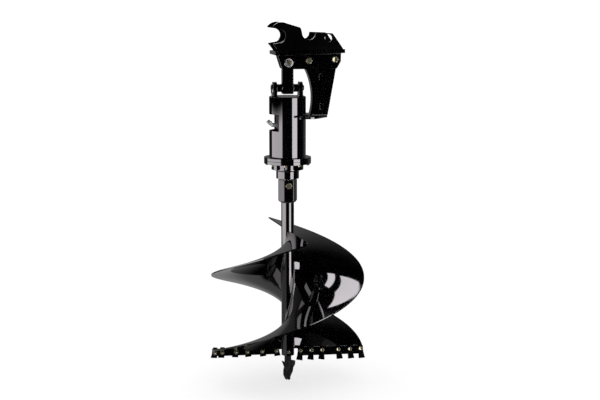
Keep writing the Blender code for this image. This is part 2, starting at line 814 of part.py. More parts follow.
def build_hub(spin, centre):
    hub = prism("hub_collar", (hexagon(HUB_CORNER_R),), HUB_FOOT, HUB_TOP)
    socket = prism("hub_socket", (hexagon(SOCKET_CORNER_R),), SOCKET_FLOOR, HUB_TOP + 0.02)
    cut(hub, socket, (AXIS_X, 0, 0))
    cross = rod("hub_cross_bore", HUB_BOLT_R + GAP, -0.08, 0.08, 20, "Y")
    cut(hub, cross, (AXIS_X, 0, HUB_BOLT_Z))
    finish(hub, BLACK_PAINT, spin, centre)

    face = HUB_CORNER_R * math.cos(math.pi / 6) + GAP
    bolt = rod("hub_bolt", HUB_BOLT_R, -face - 0.010, face + 0.014, 20, "Y")
    for low, high, label in ((face, face + 0.012, "nut"), (-face - 0.010, -face, "head")):
        at = (AXIS_X, 0, HUB_BOLT_Z)
        join(bolt, prism(f"hub_bolt_{label}", (hexagon(0.0185),), low, high, "Y"), at)
    finish(bolt, ZINC, spin, centre + Vector((0, 0, HUB_BOLT_Z)))


def build_tube(spin, centre):
    inner = TUBE_R - TUBE_WALL
    tube = collar("auger_tube", TUBE_R, inner, TUBE_FOOT, HUB_FOOT - GAP, 32)
    cross = rod("tube_cross_bore", 0.0065 + GAP, -0.06, 0.06, 16, "Y")
    cut(tube, cross, (AXIS_X, 0, PILOT_BOLT_Z))
    finish(tube, BLACK_PAINT, spin, centre)


def build_flights(spin, centre):
    """Each flight is a radial line wound up the tube, then given its thickness."""
    rise = FLIGHT_PITCH / math.tau
    foot = Vector((0, 0, AUGER_FOOT + FLIGHT_THICK / 2 + rise * FLIGHT_CUT))
    for name, turn in (("flight_a", 0.0), ("flight_b", math.pi)):
        mesh = bpy.data.meshes.new(name)
        mesh.from_pydata([(TUBE_R + 0.0006, 0, 0), (FLIGHT_R, 0, 0)], [(0, 1)], [])
        flight = mesh_object(name, mesh)
        screw = flight.modifiers.new("Wind", "SCREW")
        screw.angle = FLIGHT_SWEEP - FLIGHT_CUT
        screw.screw_offset = rise * (FLIGHT_SWEEP - FLIGHT_CUT)
        screw.steps = FLIGHT_STEPS
        screw.render_steps = FLIGHT_STEPS
        screw.use_smooth_shade = True
        thick = flight.modifiers.new("Thickness", "SOLIDIFY")
        thick.thickness = FLIGHT_THICK
        thick.offset = 0
        flight.rotation_euler.z = FLIGHT_START + FLIGHT_CUT + turn
        finish(flight, BLACK_PAINT, spin, centre + foot)


def tooth_outline():
    """A tooth from its shank on the bar to its flared cutting edge, in the bar's own frame."""
    half = TOOTH_WIDTH / 2
    top = BAR_HEIGHT / 2 + 0.002
    foot = -BAR_HEIGHT / 2
    tip = foot - TOOTH_DROP
    return (
        (half - 0.003, top),
        (-half + 0.003, top),
        (-half + 0.001, foot),
        (-half - 0.002, tip + 0.004),
        (-half - 0.002, tip),
        (half + 0.002, tip),
        (half + 0.002, tip + 0.004),
        (half - 0.001, foot),
    )


def build_cutters(spin, centre):
    for name, turn, radii in (("a", 0.0, TEETH_A), ("b", math.pi, TEETH_B)):
        angle = FLIGHT_START + FLIGHT_CUT + turn
        frame = bpy.data.objects.new(f"cutter_frame_{name}", None)
        PARTS.objects.link(frame)
        frame.parent = spin
        frame.rotation_euler = (-BAR_TILT, 0, angle)
        lead = Vector((math.sin(angle), -math.cos(angle), 0)) * BAR_LEAD
        frame.location = centre + Vector((0, 0, AUGER_FOOT + BAR_MID_Z)) + lead
        bar = box(
            f"cutter_bar_{name}",
            (BAR_INNER_R, -BAR_THICK, -BAR_HEIGHT / 2),
            (FLIGHT_R, 0, BAR_HEIGHT / 2),
        )
        finish(bar, BLACK_PAINT, frame)
        for i, radius in enumerate(radii):
            front = -BAR_THICK - GAP
            tooth = prism(f"tooth_{name}{i + 1}", (tooth_outline(),), front - TOOTH_THICK, front, "Y")
            tooth.rotation_euler.y = math.radians(TEETH_LEAN[i])
            finish(tooth, BARE_CAST, frame, (radius, 0, 0))


def pilot_outline():
    """The fishtail blade: a cutting wing on one side, a spur on the other and a split tip."""
    wing = (
        (0.018, -0.0500),
        (0.045, -0.0555),
        (0.044, -0.0770),
        (0.033, -0.0966),
        (0.030, -0.1200),
        (0.021, -0.1395),
        (0.0134, -0.1590),
        (0.0162, -0.1660),
        (0.0043, PILOT_TIP),
    )
    spur = (
        (0.0000, -0.1690),
        (-0.0120, -0.1725),
        (-0.0200, -0.1610),
        (-0.0280, -0.1430),
        (-0.0280, -0.1130),
        (-0.0230, -0.0930),
        (-0.0290, -0.0770),
        (-0.0384, -0.0520),
        (-0.0180, -0.0620),
    )
    return [(x, AUGER_FOOT + z) for x, z in wing + spur]


def build_pilot(spin, centre):
    shank_top = TUBE_FOOT + 0.075
    pilot = turned(
        "pilot_bit",
        (
            (0, shank_top),
            (PILOT_SHANK_R, shank_top),
            (PILOT_SHANK_R, TUBE_FOOT - GAP),
            (PILOT_NECK, TUBE_FOOT - 0.008),
            (PILOT_NECK, AUGER_FOOT + PILOT_TAPER_TOP),
            (0.012, AUGER_FOOT - 0.150),
            (0.002, AUGER_FOOT - 0.168),
            (0, AUGER_FOOT - 0.168),
        ),
        24,
    )
    blade = prism("pilot_blade", (pilot_outline(),), -0.006, 0.006, "Y")
    join(pilot, blade, (AXIS_X, 0, 0))
    cross = rod("pilot_cross_bore", 0.0065 + GAP, -0.06, 0.06, 16, "Y")
    cut(pilot, cross, (AXIS_X, 0, PILOT_BOLT_Z))
    finish(pilot, BARE_CAST, spin, centre)

    face = TUBE_R + GAP
    bolt = rod("pilot_bolt", 0.0065, -face - 0.007, face + 0.008, 16, "Y")
    at = (AXIS_X, 0, PILOT_BOLT_Z)
    for low, high, label in ((face, face + 0.008, "nut"), (-face - 0.008, -face, "head")):
        join(bolt, prism(f"pilot_bolt_{label}", (hexagon(0.0095),), low, high, "Y"), at)
    finish(bolt, ZINC, spin, centre + Vector((0, 0, PILOT_BOLT_Z)))


def build_auger(spin):
    centre = -Vector(spin["world"]) + Vector((AXIS_X, 0, 0))
    build_carrier(spin, centre)
    build_hub(spin, centre)
    build_tube(spin, centre)
    build_flights(spin, centre)
    build_cutters(spin, centre)
    build_pilot(spin, centre)


def main():
    root = pivot("hitch_origin", (0, 0, 0))
    swing = pivot("link_swing", (AXIS_X, 0, SWING_Z), root)
    side = pivot("side_swing", (AXIS_X, 0, CROSS_Z), swing)
    spin = pivot("auger_spin", (AXIS_X, 0, HUB_TOP), side)
    sun = pivot("sun_spin", (AXIS_X, 0, GEAR_Z[0]), side)
    planets = [pivot(f"planet_spin_{i + 1}", planet_place(i), spin) for i in range(PLANET_COUNT)]
    build_hitch(root)
    build_link(swing)
    build_drive(side)
    build_sun(sun)
    build_planets(planets)
    build_auger(spin)


main()
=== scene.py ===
"""The looks of a hydraulic earth auger, a double-start auger on a planetary drive, hung from a cradle hitch.

Metres, +Z up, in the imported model's frame: the origin is the centre of the hitch's hook, +X runs away from
the hook's mouth and Y runs across the two ears.
"""

from math import atan2, cos, degrees, hypot, pi, radians, sin, tan, tau

import bmesh
import bpy
from mathutils import Matrix, Vector
from mathutils.geometry import tessellate_polygon


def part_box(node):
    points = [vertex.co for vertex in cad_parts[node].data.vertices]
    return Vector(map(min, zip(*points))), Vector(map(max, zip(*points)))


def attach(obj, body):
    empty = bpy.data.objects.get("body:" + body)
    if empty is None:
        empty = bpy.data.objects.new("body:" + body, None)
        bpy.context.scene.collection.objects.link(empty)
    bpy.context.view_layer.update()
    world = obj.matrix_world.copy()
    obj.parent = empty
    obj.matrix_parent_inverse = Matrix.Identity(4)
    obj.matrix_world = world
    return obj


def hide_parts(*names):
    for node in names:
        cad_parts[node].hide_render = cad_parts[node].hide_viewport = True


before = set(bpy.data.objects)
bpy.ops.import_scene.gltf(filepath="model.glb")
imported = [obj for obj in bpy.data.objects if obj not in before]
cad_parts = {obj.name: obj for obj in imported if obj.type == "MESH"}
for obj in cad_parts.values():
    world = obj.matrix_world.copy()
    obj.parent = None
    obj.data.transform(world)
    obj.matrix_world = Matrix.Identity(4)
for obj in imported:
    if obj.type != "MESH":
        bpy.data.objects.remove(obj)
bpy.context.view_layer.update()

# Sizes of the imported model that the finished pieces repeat
SEAT_R = 0.040
REAR_SEAT = (0.174, 0.017)
LIFT_HOLE = (0.288, -0.014)
LIFT_HOLE_R = 0.0225
EAR_OUTER_Y = 0.110
EAR_THICK = 0.022
BASE_TOP = -0.083
BASE_THICK = 0.022
BASE_SLOPE = 0.026  # rise of the base plate from the hook end to the lifting end
BASE_X = (-0.022, 0.386)
BRACKET_OUTER_Y = 0.042
BRACKET_THICK = 0.014
BRACKET_FOOT = -0.194
ARM_OUTER_Y = 0.0277
ARM_THICK = 0.008
ARM_FOOT = -0.463
ARM_TOP = -0.115
SLOT_CENTRES = ((0.258, -0.242), (0.264, -0.414))
SLOT_LENGTH = 0.038
SLOT_R = 0.009
CRADLE_BOLTS = ((0.186, -0.145), (0.340, -0.139))
CRADLE_BOLT_R = 0.010
SADDLE_THICK = 0.012
SADDLE_HALF_WIDTH = 0.158
SADDLE_MOUTH_HALF = 0.138
SADDLE_X = (0.113, 0.190, 0.296)
GAP = 0.0003

AXIS_X = 0.066
SWING_Z = -0.156
CROSS_Z = -0.304
SWING_PIN_R = 0.020
CROSS_PIN_R = 0.016
LINK_HALF_WIDTH = 0.0325
LINK_HALF_DEPTH = 0.025
CROSS_BOSS_R = 0.024
CROSS_BOSS_HALF = 0.062
CLEVIS_INNER_X = 0.065
CLEVIS_THICK = 0.022
CLEVIS_HALF_DEPTH = 0.038
CLEVIS_TOP = -0.266

HOOD_R = 0.108
HOOD_WALL = 0.005
HOOD_LID = 0.010
HOOD_TOP = -0.352
HOOD_FLANGE_TOP = -0.708
FLANGE_R = 0.139
FLANGE_THICK = 0.019
WINDOW_Z = (-0.552, -0.455)
WINDOW_EDGE = 0.065
MOTOR_R = 0.060
MOTOR_FOOT = -0.6334
MOTOR_HEAD = -0.545
BLOCK_HALF = 0.062
BLOCK_TOP = -0.465
END_CAP_R = 0.052
END_CAP_TOP = -0.430
PORT_Y = 0.032
PORT_Z = -0.520
ELBOW_R = 0.011
HOUSING_TOP = HOOD_FLANGE_TOP - FLANGE_THICK - GAP
HOUSING_STEP = -0.787
HOUSING_FOOT = -0.836
HOUSING_R = 0.0955
HOUSING_NOSE_R = 0.0676
RING_R = 0.100
RING_FOOT = -0.700

HUB_TOP = -0.843
HUB_FOOT = -0.976
HUB_CORNER_R = 0.0572
SOCKET_CORNER_R = 0.0385
SOCKET_FLOOR = -0.950
HUB_BOLT_Z = -0.877
HUB_BOLT_R = 0.009
TUBE_R = 0.0381
TUBE_WALL = 0.008
AUGER_FOOT = -1.897
TUBE_FOOT = AUGER_FOOT - 0.015
FLIGHT_R = 0.457
FLIGHT_THICK = 0.008
FLIGHT_PITCH = 0.9402
FLIGHT_START = radians(-9.3)
FLIGHT_CUT = radians(6.3)  # part of the helix trimmed off to make room for the cutter bar
FLIGHT_SWEEP = radians(285)
BAR_TILT = radians(25)
BAR_THICK = 0.012
BAR_HEIGHT = 0.050
BAR_FRONT = -BAR_THICK - GAP
BAR_INNER_R = 0.058
BAR_LEAD = 0.0134
BAR_MID_Z = 0.004
TOOTH_WIDTH = 0.034
TOOTH_THICK = 0.010
TOOTH_DROP = 0.030
TOOTH_GRIND = 0.62  # share of the thickness that is ground away at the tip
TEETH_LEAN = (9, 9, 9, -5, -5, -5)  # degrees towards the tube, from the innermost tooth out
TEETH = {"a": (0.072, 0.139, 0.205, 0.304, 0.374, 0.439), "b": (0.066, 0.153, 0.243, 0.311, 0.395, 0.439)}
STARTS = (("a", 0.0), ("b", pi))  # the two flights, and how far each is turned about the axis
PILOT_SHANK_R = 0.0295
PILOT_NECK = 0.0205
PILOT_TAPER_TOP = -0.104
PILOT_TIP = -0.176
PILOT_BOLT_Z = AUGER_FOOT + 0.009

AXIS = Vector((AXIS_X, 0, 0))
ON_AXIS = Matrix.Translation(AXIS)


# ---- materials


def feed(tree, node, inputs):
    """Gives inputs their values, or links them where the value is a socket."""
    for name, value in inputs.items():
        if isinstance(value, bpy.types.NodeSocket):
            tree.links.new(value, node.inputs[name])
        else:
            node.inputs[name].default_value = value


def add_node(tree, kind, inputs=(), **settings):
    node = tree.nodes.new(kind)
    for name, value in settings.items():
        setattr(node, name, value)
    feed(tree, node, dict(inputs))
    return node


def maths(tree, operation, *values):
    """A maths node over values and sockets."""
    return add_node(tree, "ShaderNodeMath", dict(enumerate(values)), operation=operation).outputs[0]


def noise(tree, scale, detail=4.0):
    """A noise factor over the piece's own coordinates, which turn with its body."""
    place = add_node(tree, "ShaderNodeTexCoord").outputs["Object"]
    inputs = {"Scale": scale, "Detail": detail, "Vector": place}
    return add_node(tree, "ShaderNodeTexNoise", inputs).outputs["Fac"]


def spread(tree, factor, low, high):
    """Maps the middle range of a noise factor between two values."""
    inputs = {"Value": factor, "From Min": 0.3, "From Max": 0.7, "To Min": low, "To Max": high}
    return add_node(tree, "ShaderNodeMapRange", inputs).outputs["Result"]


def two_tone(tree, factor, *colours):
    """A colour that runs between two with a factor."""
    ramp = add_node(tree, "ShaderNodeValToRGB", {"Fac": factor})
    for stop, position, colour in zip(ramp.color_ramp.elements, (0.35, 0.65), colours):
        stop.position = position
        stop.color = (*colour, 1)
    return ramp.outputs["Color"]


def principled(name):
    """A new material, its node tree and its shader."""
    material = bpy.data.materials.new(name)
    material.use_nodes = True
    return material, material.node_tree, material.node_tree.nodes["Principled BSDF"]


WEAR_SCALE = 3.7  # how much finer the drift in roughness is than the drift in colour


def surface(name, colours, rough, metallic, patch, grain, ior=1.5):
    """A finish whose colour and roughness drift in patches, over a fine bump.

    patch is the scale of the drift; grain is the bump's scale, depth and strength.
    """
    material, tree, shader = principled(name)
    colour = two_tone(tree, noise(tree, patch, 6.0), *colours)
    roughness = spread(tree, noise(tree, patch * WEAR_SCALE, 5.0), *rough)
    scale, depth, strength = grain
    inputs = {"Distance": depth, "Strength": strength, "Height": noise(tree, scale, 3.0)}
    normal = add_node(tree, "ShaderNodeBump", inputs).outputs["Normal"]
    uniform = {"Metallic": metallic, "IOR": ior}
    feed(tree, shader, {**uniform, "Base Color": colour, "Roughness": roughness, "Normal": normal})
    return material


ENAMEL_BLACK = ((0.0005, 0.0005, 0.0006), (0.0016, 0.0016, 0.0018))
ENAMEL_GRAIN = (160.0, 0.00003, 0.25)
STEEL_GRAIN = (800.0, 0.00005, 0.5)
TURNED_GRAIN = (700.0, 0.00005, 0.5)
STEEL_GREY = ((0.52, 0.52, 0.54), (0.68, 0.68, 0.70))
ZINC = ((0.40, 0.385, 0.26), (0.56, 0.54, 0.38))
GEAR_GREY = ((0.30, 0.31, 0.33), (0.46, 0.47, 0.49))
CASTING_BLACK = ((0.006, 0.006, 0.007), (0.016, 0.016, 0.018))
BRONZE = ((0.50, 0.33, 0.15), (0.64, 0.46, 0.24))
RUBBER_BLACK = ((0.012, 0.012, 0.012), (0.028, 0.028, 0.028))
# slot, name, colours, roughness, metallic, patch scale, grain and, for the paints, index of refraction;
# the last three are duller or rougher versions of a slot's finish
LOOKS = (
    ("black_paint", "gloss_black_enamel", ENAMEL_BLACK, (0.020, 0.050), 0.0, 9.0, ENAMEL_GRAIN, 2.45),
    ("zinc_plate", "yellow_zinc_plate", ZINC, (0.03, 0.06), 0.84, 60.0, (900.0, 0.00003, 0.2)),
    ("bright_steel", "bright_steel", STEEL_GREY, (0.22, 0.36), 1.0, 45.0, STEEL_GRAIN),
    ("gear_steel", "oiled_gear_steel", GEAR_GREY, (0.24, 0.40), 1.0, 50.0, TURNED_GRAIN),
    ("dark_casting", "black_cast_steel", CASTING_BLACK, (0.28, 0.46), 0.1, 40.0, (420.0, 0.0002, 0.6)),
    ("bronze", "bearing_bronze", BRONZE, (0.28, 0.44), 1.0, 50.0, TURNED_GRAIN),
    ("rubber", "black_rubber", RUBBER_BLACK, (0.70, 0.90), 0.0, 40.0, (500.0, 0.0002, 0.6)),
    ("satin_black", "satin_black_enamel", ENAMEL_BLACK, (0.16, 0.20), 0.0, 9.0, ENAMEL_GRAIN, 1.1),
    ("hub_black", "hub_black_enamel", ENAMEL_BLACK, (0.03, 0.06), 0.0, 9.0, ENAMEL_GRAIN, 1.82),
    ("brushed_steel", "brushed_fitting_steel", STEEL_GREY, (0.40, 0.52), 0.75, 45.0, STEEL_GRAIN),
)
FINISHES = {slot: surface(*look) for slot, *look in LOOKS}


# ---- mesh tools


def polar(radius, angle):
    """A point about the origin, at an angle in radians."""
    return radius * cos(angle), radius * sin(angle)


def arc(centre, radius, start, end, count):
    """Points on a circle, from one angle in degrees to another."""
    points = []
    for i in range(count + 1):
        x, y = polar(radius, radians(start + (end - start) * i / count))
        points.append((centre[0] + x, centre[1] + y))
    return points


def circle(centre, radius, count=48):
    return arc(centre, radius, 0, 360 * (count - 1) / count, count - 1)


def arc_through(a, b, c, count):
    """Points on the circle through a, b and c, from a to c."""
    ax, ay, bx, by, cx, cy = *a, *b, *c
    d = 2 * (ax * (by - cy) + bx * (cy - ay) + cx * (ay - by))
    sa, sb, sc = ax * ax + ay * ay, bx * bx + by * by, cx * cx + cy * cy
    ux = (sa * (by - cy) + sb * (cy - ay) + sc * (ay - by)) / d
    uy = (sa * (cx - bx) + sb * (ax - cx) + sc * (bx - ax)) / d
    start = degrees(atan2(ay - uy, ax - ux))
    end = degrees(atan2(cy - uy, cx - ux))
    if end - start > 180:
        end -= 360
    if start - end > 180:
        end += 360
    return arc((ux, uy), hypot(ax - ux, ay - uy), start, end, count)


def fillet(corners, closed=True, count=6):
    """A line through (x, y) and (x, y, radius) corners, each rounded to its radius."""
    points = []
    for i, corner in enumerate(corners):
        here = Vector(corner[:2])
        at_end = not closed and i in (0, len(corners) - 1)
        if len(corner) == 2 or corner[2] == 0 or at_end:
            points.append(tuple(here))
            continue
        before = (Vector(corners[i - 1][:2]) - here).normalized()
        after = (Vector(corners[(i + 1) % len(corners)][:2]) - here).normalized()
        half = before.angle(after) / 2
        centre = here + (before + after).normalized() * corner[2] / sin(half)
        first = here + before * corner[2] / tan(half)
        last = here + after * corner[2] / tan(half)
        middle = centre + (here - centre).normalized() * corner[2]
        points += arc_through(first, middle, last, count)
    return points


def obround(centre, length, radius, count=10):
    reach = length / 2 - radius
    upper = arc((centre[0], centre[1] + reach), radius, 0, 180, count)
    lower = arc((centre[0], centre[1] - reach), radius, 180, 360, count)
    return upper + lower


def rectangle(left, low, right, high, radius):
    """The four rounded corners of a rectangle, for fillet."""
    return ((left, low, radius), (right, low, radius), (right, high, radius), (left, high, radius))


def placed(name, data):
    obj = bpy.data.objects.new(name, data)
    bpy.context.scene.collection.objects.link(obj)
    return obj


def to_mesh(name, work):
    mesh = bpy.data.meshes.new(name)
    work.to_mesh(mesh)
    work.free()
    return mesh


def to_object(name, work, sharp=35, place=None):
    """Closes a bmesh into a scene object, smooth apart from its corners."""
    bmesh.ops.recalc_face_normals(work, faces=work.faces)
    for face in work.faces:
        face.smooth = True
    for edge in work.edges:
        if len(edge.link_faces) == 2 and edge.calc_face_angle() > radians(sharp):
            edge.smooth = False
    obj = placed(name, to_mesh(name, work))
    if place:
        obj.data.transform(place)
    return obj


def weighted(obj):
    """Keeps large faces flat beside the small ones that round their edges."""
    modifier = obj.modifiers.new("Flat faces", "WEIGHTED_NORMAL")
    modifier.keep_sharp = True
    modifier.weight = 100
    return obj


def bridge(work, rings, ring=False):
    """Faces between rows of points; a row of one point is a pole."""
    pairs = list(zip(rings, rings[1:]))
    if ring:
        pairs.append((rings[-1], rings[0]))
    for upper, lower in pairs:
        count = max(len(upper), len(lower))
        for i in range(count):
            j = (i + 1) % count
            if len(upper) == 1:
                work.faces.new((upper[0], lower[i], lower[j]))
            elif len(lower) == 1:
                work.faces.new((upper[i], lower[0], upper[j]))
            else:
                work.faces.new((upper[i], lower[i], lower[j], upper[j]))


def round_row(work, radius, level, sides, start=0.0):
    """Points around Z, or the pole alone where the radius is 0."""
    if radius < 1e-6:
        return [work.verts.new((0, 0, level))]
    return [work.verts.new((*polar(radius, tau * i / sides + start), level)) for i in range(sides)]


def lathe(name, profile, sides=96, ring=False, place=None, sharp=35):
    """A shape turned about Z from (radius, height) points. With ring, the profile closes on itself."""
    work = bmesh.new()
    bridge(work, [round_row(work, radius, level, sides) for radius, level in profile], ring)
    return weighted(to_object(name, work, sharp, place))


def turned(name, corners, sides, place=None, count=4, ring=False):
    """A shape turned about Z from (radius, height) or (radius, height, rounding) corners."""
    return lathe(name, fillet(corners, ring, count), sides, ring, place)


def rod(name, radius, half, sides, place):
    """A plain round bar along Z, from -half to half."""
    return lathe(name, ((0, half), (radius, half), (radius, -half), (0, -half)), sides, place=place)


def signed_area(outline):
    pairs = zip(outline, outline[1:] + outline[:1])
    return sum(ax * by - bx * ay for (ax, ay), (bx, by) in pairs) / 2


def inset(outline, distance):
    """The outline moved to its left, which is into the plate."""
    points = []
    count = len(outline)
    for i in range(count):
        here = Vector(outline[i])
        ahead = (Vector(outline[(i + 1) % count]) - here).normalized()
        behind = (here - Vector(outline[i - 1])).normalized()
        first = Vector((-behind.y, behind.x))
        second = Vector((-ahead.y, ahead.x))
        reach = max(1 + first.dot(second), 0.3)
        points.append(tuple(here + (first + second) * distance / reach))
    return points


def clean(outline):
    """Drops points that repeat their neighbour."""
    kept = []
    for point in outline:
        if not kept or (Vector(point) - Vector(kept[-1])).length > 1e-6:
            kept.append(tuple(point))
    if (Vector(kept[0]) - Vector(kept[-1])).length < 1e-6:
        kept.pop()
    return kept


def plate(name, outlines, low, high, along="Z", edge=0.0012, place=None):
    """A flat plate between low and high, its outline and its holes rounded over at both faces.

    An outline's points are (x, y) along Z, (x, z) along Y, and (y, z) along X.
    """
    steps = 3
    middle, half = (low + high) / 2, (high - low) / 2
    edge = min(edge, half * 0.9)
    loops = []
    for i, outline in enumerate(outlines):
        outline = clean(outline)
        if (signed_area(outline) > 0) != (i == 0):
            outline.reverse()
        loops.append(outline)
    levels = []
    for step in range(steps + 1):
        angle = pi / 2 * step / steps
        levels.append((edge * (1 - sin(angle)), half - edge * (1 - cos(angle))))
    levels += [(depth, -height) for depth, height in reversed(levels)]
    work = bmesh.new()

    def to_world(x, y, height):
        height += middle
        return {"Z": (x, y, height), "Y": (x, height, y), "X": (height, x, y)}[along]

    tops, feet, caps = [], [], []
    for outline in loops:
        rings = []
        for depth, height in levels:
            moved = inset(outline, depth)
            rings.append([work.verts.new(to_world(x, y, height)) for x, y in moved])
        bridge(work, rings)
        tops += rings[0]
        feet += rings[-1]
        caps.append([Vector((x, y, 0)) for x, y in inset(outline, levels[0][0])])
    for corners in tessellate_polygon(caps):
        work.faces.new([tops[i] for i in corners])
        work.faces.new([feet[i] for i in reversed(corners)])
    return weighted(to_object(name, work, place=place))


def block(name, low, high, edge=0.0015):
    """A flat bar with rounded edges."""
    return plate(name, (fillet(rectangle(*low[:2], *high[:2], edge), True, 3),), low[2], high[2], "Z", edge)


def sweep(name, path, radius, sides=12, closed=False, sharp=40):
    """A round section along a path. radius is a number, or a function of the step along the path."""
    points = [Vector(point) for point in path]
    count = len(points)
    work = bmesh.new()
    rings = []
    side = None
    for i, point in enumerate(points):
        before = points[i - 1] if closed or i > 0 else point
        after = points[(i + 1) % count] if closed or i < count - 1 else point
        ahead = (after - before).normalized()
        if side is None:
            side = ahead.orthogonal().normalized()
        side = (side - ahead * side.dot(ahead)).normalized()
        other = ahead.cross(side)
        size = radius(i) if callable(radius) else radius
        row = []
        for k in range(sides):
            angle = tau * k / sides
            row.append(work.verts.new(point + (side * cos(angle) + other * sin(angle)) * size))
        rings.append(row)
    bridge(work, rings, closed)
    if not closed:
        work.faces.new(rings[0])
        work.faces.new(rings[-1])
    return to_object(name, work, sharp)


def resample(path, step):
    """Points an even step apart along a path."""
    points = [Vector(point) for point in path]
    reach = [0.0]
    for a, b in zip(points, points[1:]):
        reach.append(reach[-1] + (b - a).length)
    count = max(2, round(reach[-1] / step))
    made = []
    k = 0
    for i in range(count + 1):
        goal = reach[-1] * i / count
        while k < len(points) - 2 and reach[k + 1] < goal:
            k += 1
        share = (goal - reach[k]) / max(reach[k + 1] - reach[k], 1e-9)
        made.append(points[k].lerp(points[k + 1], share))
    return made


WELD_RIPPLE = 0.0055  # one ripple of a weld bead
WELD_STEPS = 4  # rows of points in a ripple
WELD_WAVE = 0.09  # of the bead's radius


def weld(name, path, size, closed=False):
    """A rippled weld bead that tapers at its ends."""
    points = resample(path, WELD_RIPPLE / WELD_STEPS)
    if closed:
        points.pop()
    count = len(points)

    def radius(i):
        wave = 1 + WELD_WAVE * cos(tau * i / WELD_STEPS)
        ends = 1.0
        if not closed:
            ends = min(1.0, 0.35 + 0.2 * min(i, count - 1 - i))
        return size * wave * ends

    return sweep(name, points, radius, 8, closed, 60)


def joined(name, objects):
    """Several meshes made into one piece."""
    work = bmesh.new()
    for obj in objects:
        obj.data.transform(obj.matrix_world)
        work.from_mesh(obj.data)
        bpy.data.objects.remove(obj, do_unlink=True)
    return weighted(placed(name, to_mesh(name, work)))


def cut(obj, *cutters):
    """Takes other meshes out of one, for good."""
    for cutter in cutters:
        modifier = obj.modifiers.new("Cut", "BOOLEAN")
        modifier.operation = "DIFFERENCE"
        modifier.solver = "EXACT"
        modifier.object = cutter
    while obj.modifiers[0].type != "BOOLEAN":
        obj.modifiers.remove(obj.modifiers[0])
    graph = bpy.context.evaluated_depsgraph_get()
    made = bpy.data.meshes.new_from_object(obj.evaluated_get(graph))
    obj.modifiers.clear()
    obj.data = made
    for cutter in cutters:
        bpy.data.objects.remove(cutter, do_unlink=True)
    work = bmesh.new()
    work.from_mesh(made)
    bmesh.ops.remove_doubles(work, verts=work.verts, dist=1e-6)
    for edge in work.edges:
        if len(edge.link_faces) == 2:
            edge.smooth = edge.calc_face_angle() < radians(35)
    work.to_mesh(made)
    work.free()
    return weighted(obj)


def dress(obj, body, slot, *nodes, finish=None):
    """Gives a piece its finish, which is the slot's unless another is named, puts it on its body and hides
    the CAD nodes that it stands for.
    """
    obj.data.materials.clear()
    obj.data.materials.append(FINISHES[finish or slot])
    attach(obj, body)
    if nodes:
        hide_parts(*nodes)
    return obj


def paint(obj, body, *nodes, finish=None):
    return dress(obj, body, "black_paint", *nodes, finish=finish)


def facing(direction, at):
    """A matrix that takes +Z to a direction and the origin to a place."""
    turn = Vector(direction).to_track_quat("Z", "Y").to_matrix().to_4x4()
    return Matrix.Translation(at) @ turn


def hexagon_row(work, angles, apothem, limit, level):
    """Points around a hexagon that has a corner on X, with its corners cut off at a radius."""
    row = []
    for angle in angles:
        radius = min(apothem / cos(angle % (pi / 3) - pi / 6), limit)
        row.append(work.verts.new((*polar(radius, angle), level)))
    return row


def bolt_head(name, across_corners, height, place, washer=0.0, bore=0.0):
    """A hexagonal head or nut that stands on z = 0, its top chamfered, on an optional round washer."""
    corner = across_corners / 2
    flat = corner * cos(pi / 6)
    sides = 60
    angles = [tau * i / sides + pi / 6 for i in range(sides)]
    thick = height * 0.22 if washer else 0.0
    chamfer = (corner - flat) * 1.1
    dish = height - 0.0004
    work = bmesh.new()
    rings = [round_row(work, 0, 0, sides)]
    if washer:
        for radius, level in ((washer, 0), (washer, thick * 0.8), (washer * 0.96, thick)):
            rings.append(round_row(work, radius, level, sides))
    rings.append(hexagon_row(work, angles, flat, corner, thick))
    for k in range(5):
        share = k / 4
        level = height - chamfer * 0.6 * (1 - share)
        rings.append(hexagon_row(work, angles, flat, corner - chamfer * share * share, level))
    if bore:
        for radius, level in ((bore * 1.12, height), (bore, height - bore * 0.12)):
            rings.append(round_row(work, radius, level, sides, pi / 6))
    else:
        rings.append(hexagon_row(work, angles, flat, flat * 0.93, height))
        rings.append(hexagon_row(work, angles, flat, flat * 0.62, dish))
    rings.append(round_row(work, 0, dish, sides))
    bridge(work, rings)
    return to_object(name, work, 30, place)


def stud_end(name, radius, length, place):
    """A bolt's threaded end, standing on z = 0."""
    pitch = radius * 0.28
    profile = [(0, length), (radius * 0.78, length)]
    level = length - radius * 0.15
    while level > 0:
        profile.append((radius, level))
        profile.append((radius * 0.86, level - pitch / 2))
        level -= pitch
    profile += [(radius * 0.86, 0), (0, 0)]
    profile = [point for i, point in enumerate(profile) if point[1] >= 0 or i == 0]
    return lathe(name, profile, 32, place=place, sharp=60)


def through_bolt(name, body, node, at, face, head, nut, reach, washer, radii, sides=36):
    """A bolt along Y with its head in front and its nut behind, as far from the middle as face.

    head and nut are (across corners, height), reach is the length of the threaded end, and radii are
    the nut's bore, the thread and the shank.
    """
    front = facing((0, -1, 0), (at[0], -face, at[1]))
    back = facing((0, 1, 0), (at[0], face, at[1]))
    bore, thread, shank = radii
    pieces = [
        bolt_head("head", *head, front, washer), bolt_head("nut", *nut, back, washer, bore),
        stud_end("end", thread, reach, back),
        rod("shank", shank, face, sides, facing((0, 1, 0), (at[0], 0, at[1]))),
    ]
    dress(joined(name, pieces), body, "zinc_plate", node)


def both_sides(outer, thick):
    """Name, sign and faces of the two plates of a pair that stand across Y."""
    return (("front", -1, (-outer, thick - outer)), ("rear", 1, (outer - thick, outer)))


def around_axis(count, radius, level, first):
    """Evenly spaced places around the auger's axis, from a first angle in degrees."""
    ring = arc((AXIS_X, 0), radius, first, first + 360 * (count - 1) / count, count - 1)
    return [Vector((*point, level)) for point in ring]


# ---- hitch


def base_level(x, offset=0.0):
    """Height of the sloping base plate's top, or of a level beside it, at a distance along the ears."""
    return BASE_TOP + BASE_SLOPE * (x - (BASE_X[0] + BASE_X[1]) / 2) + offset


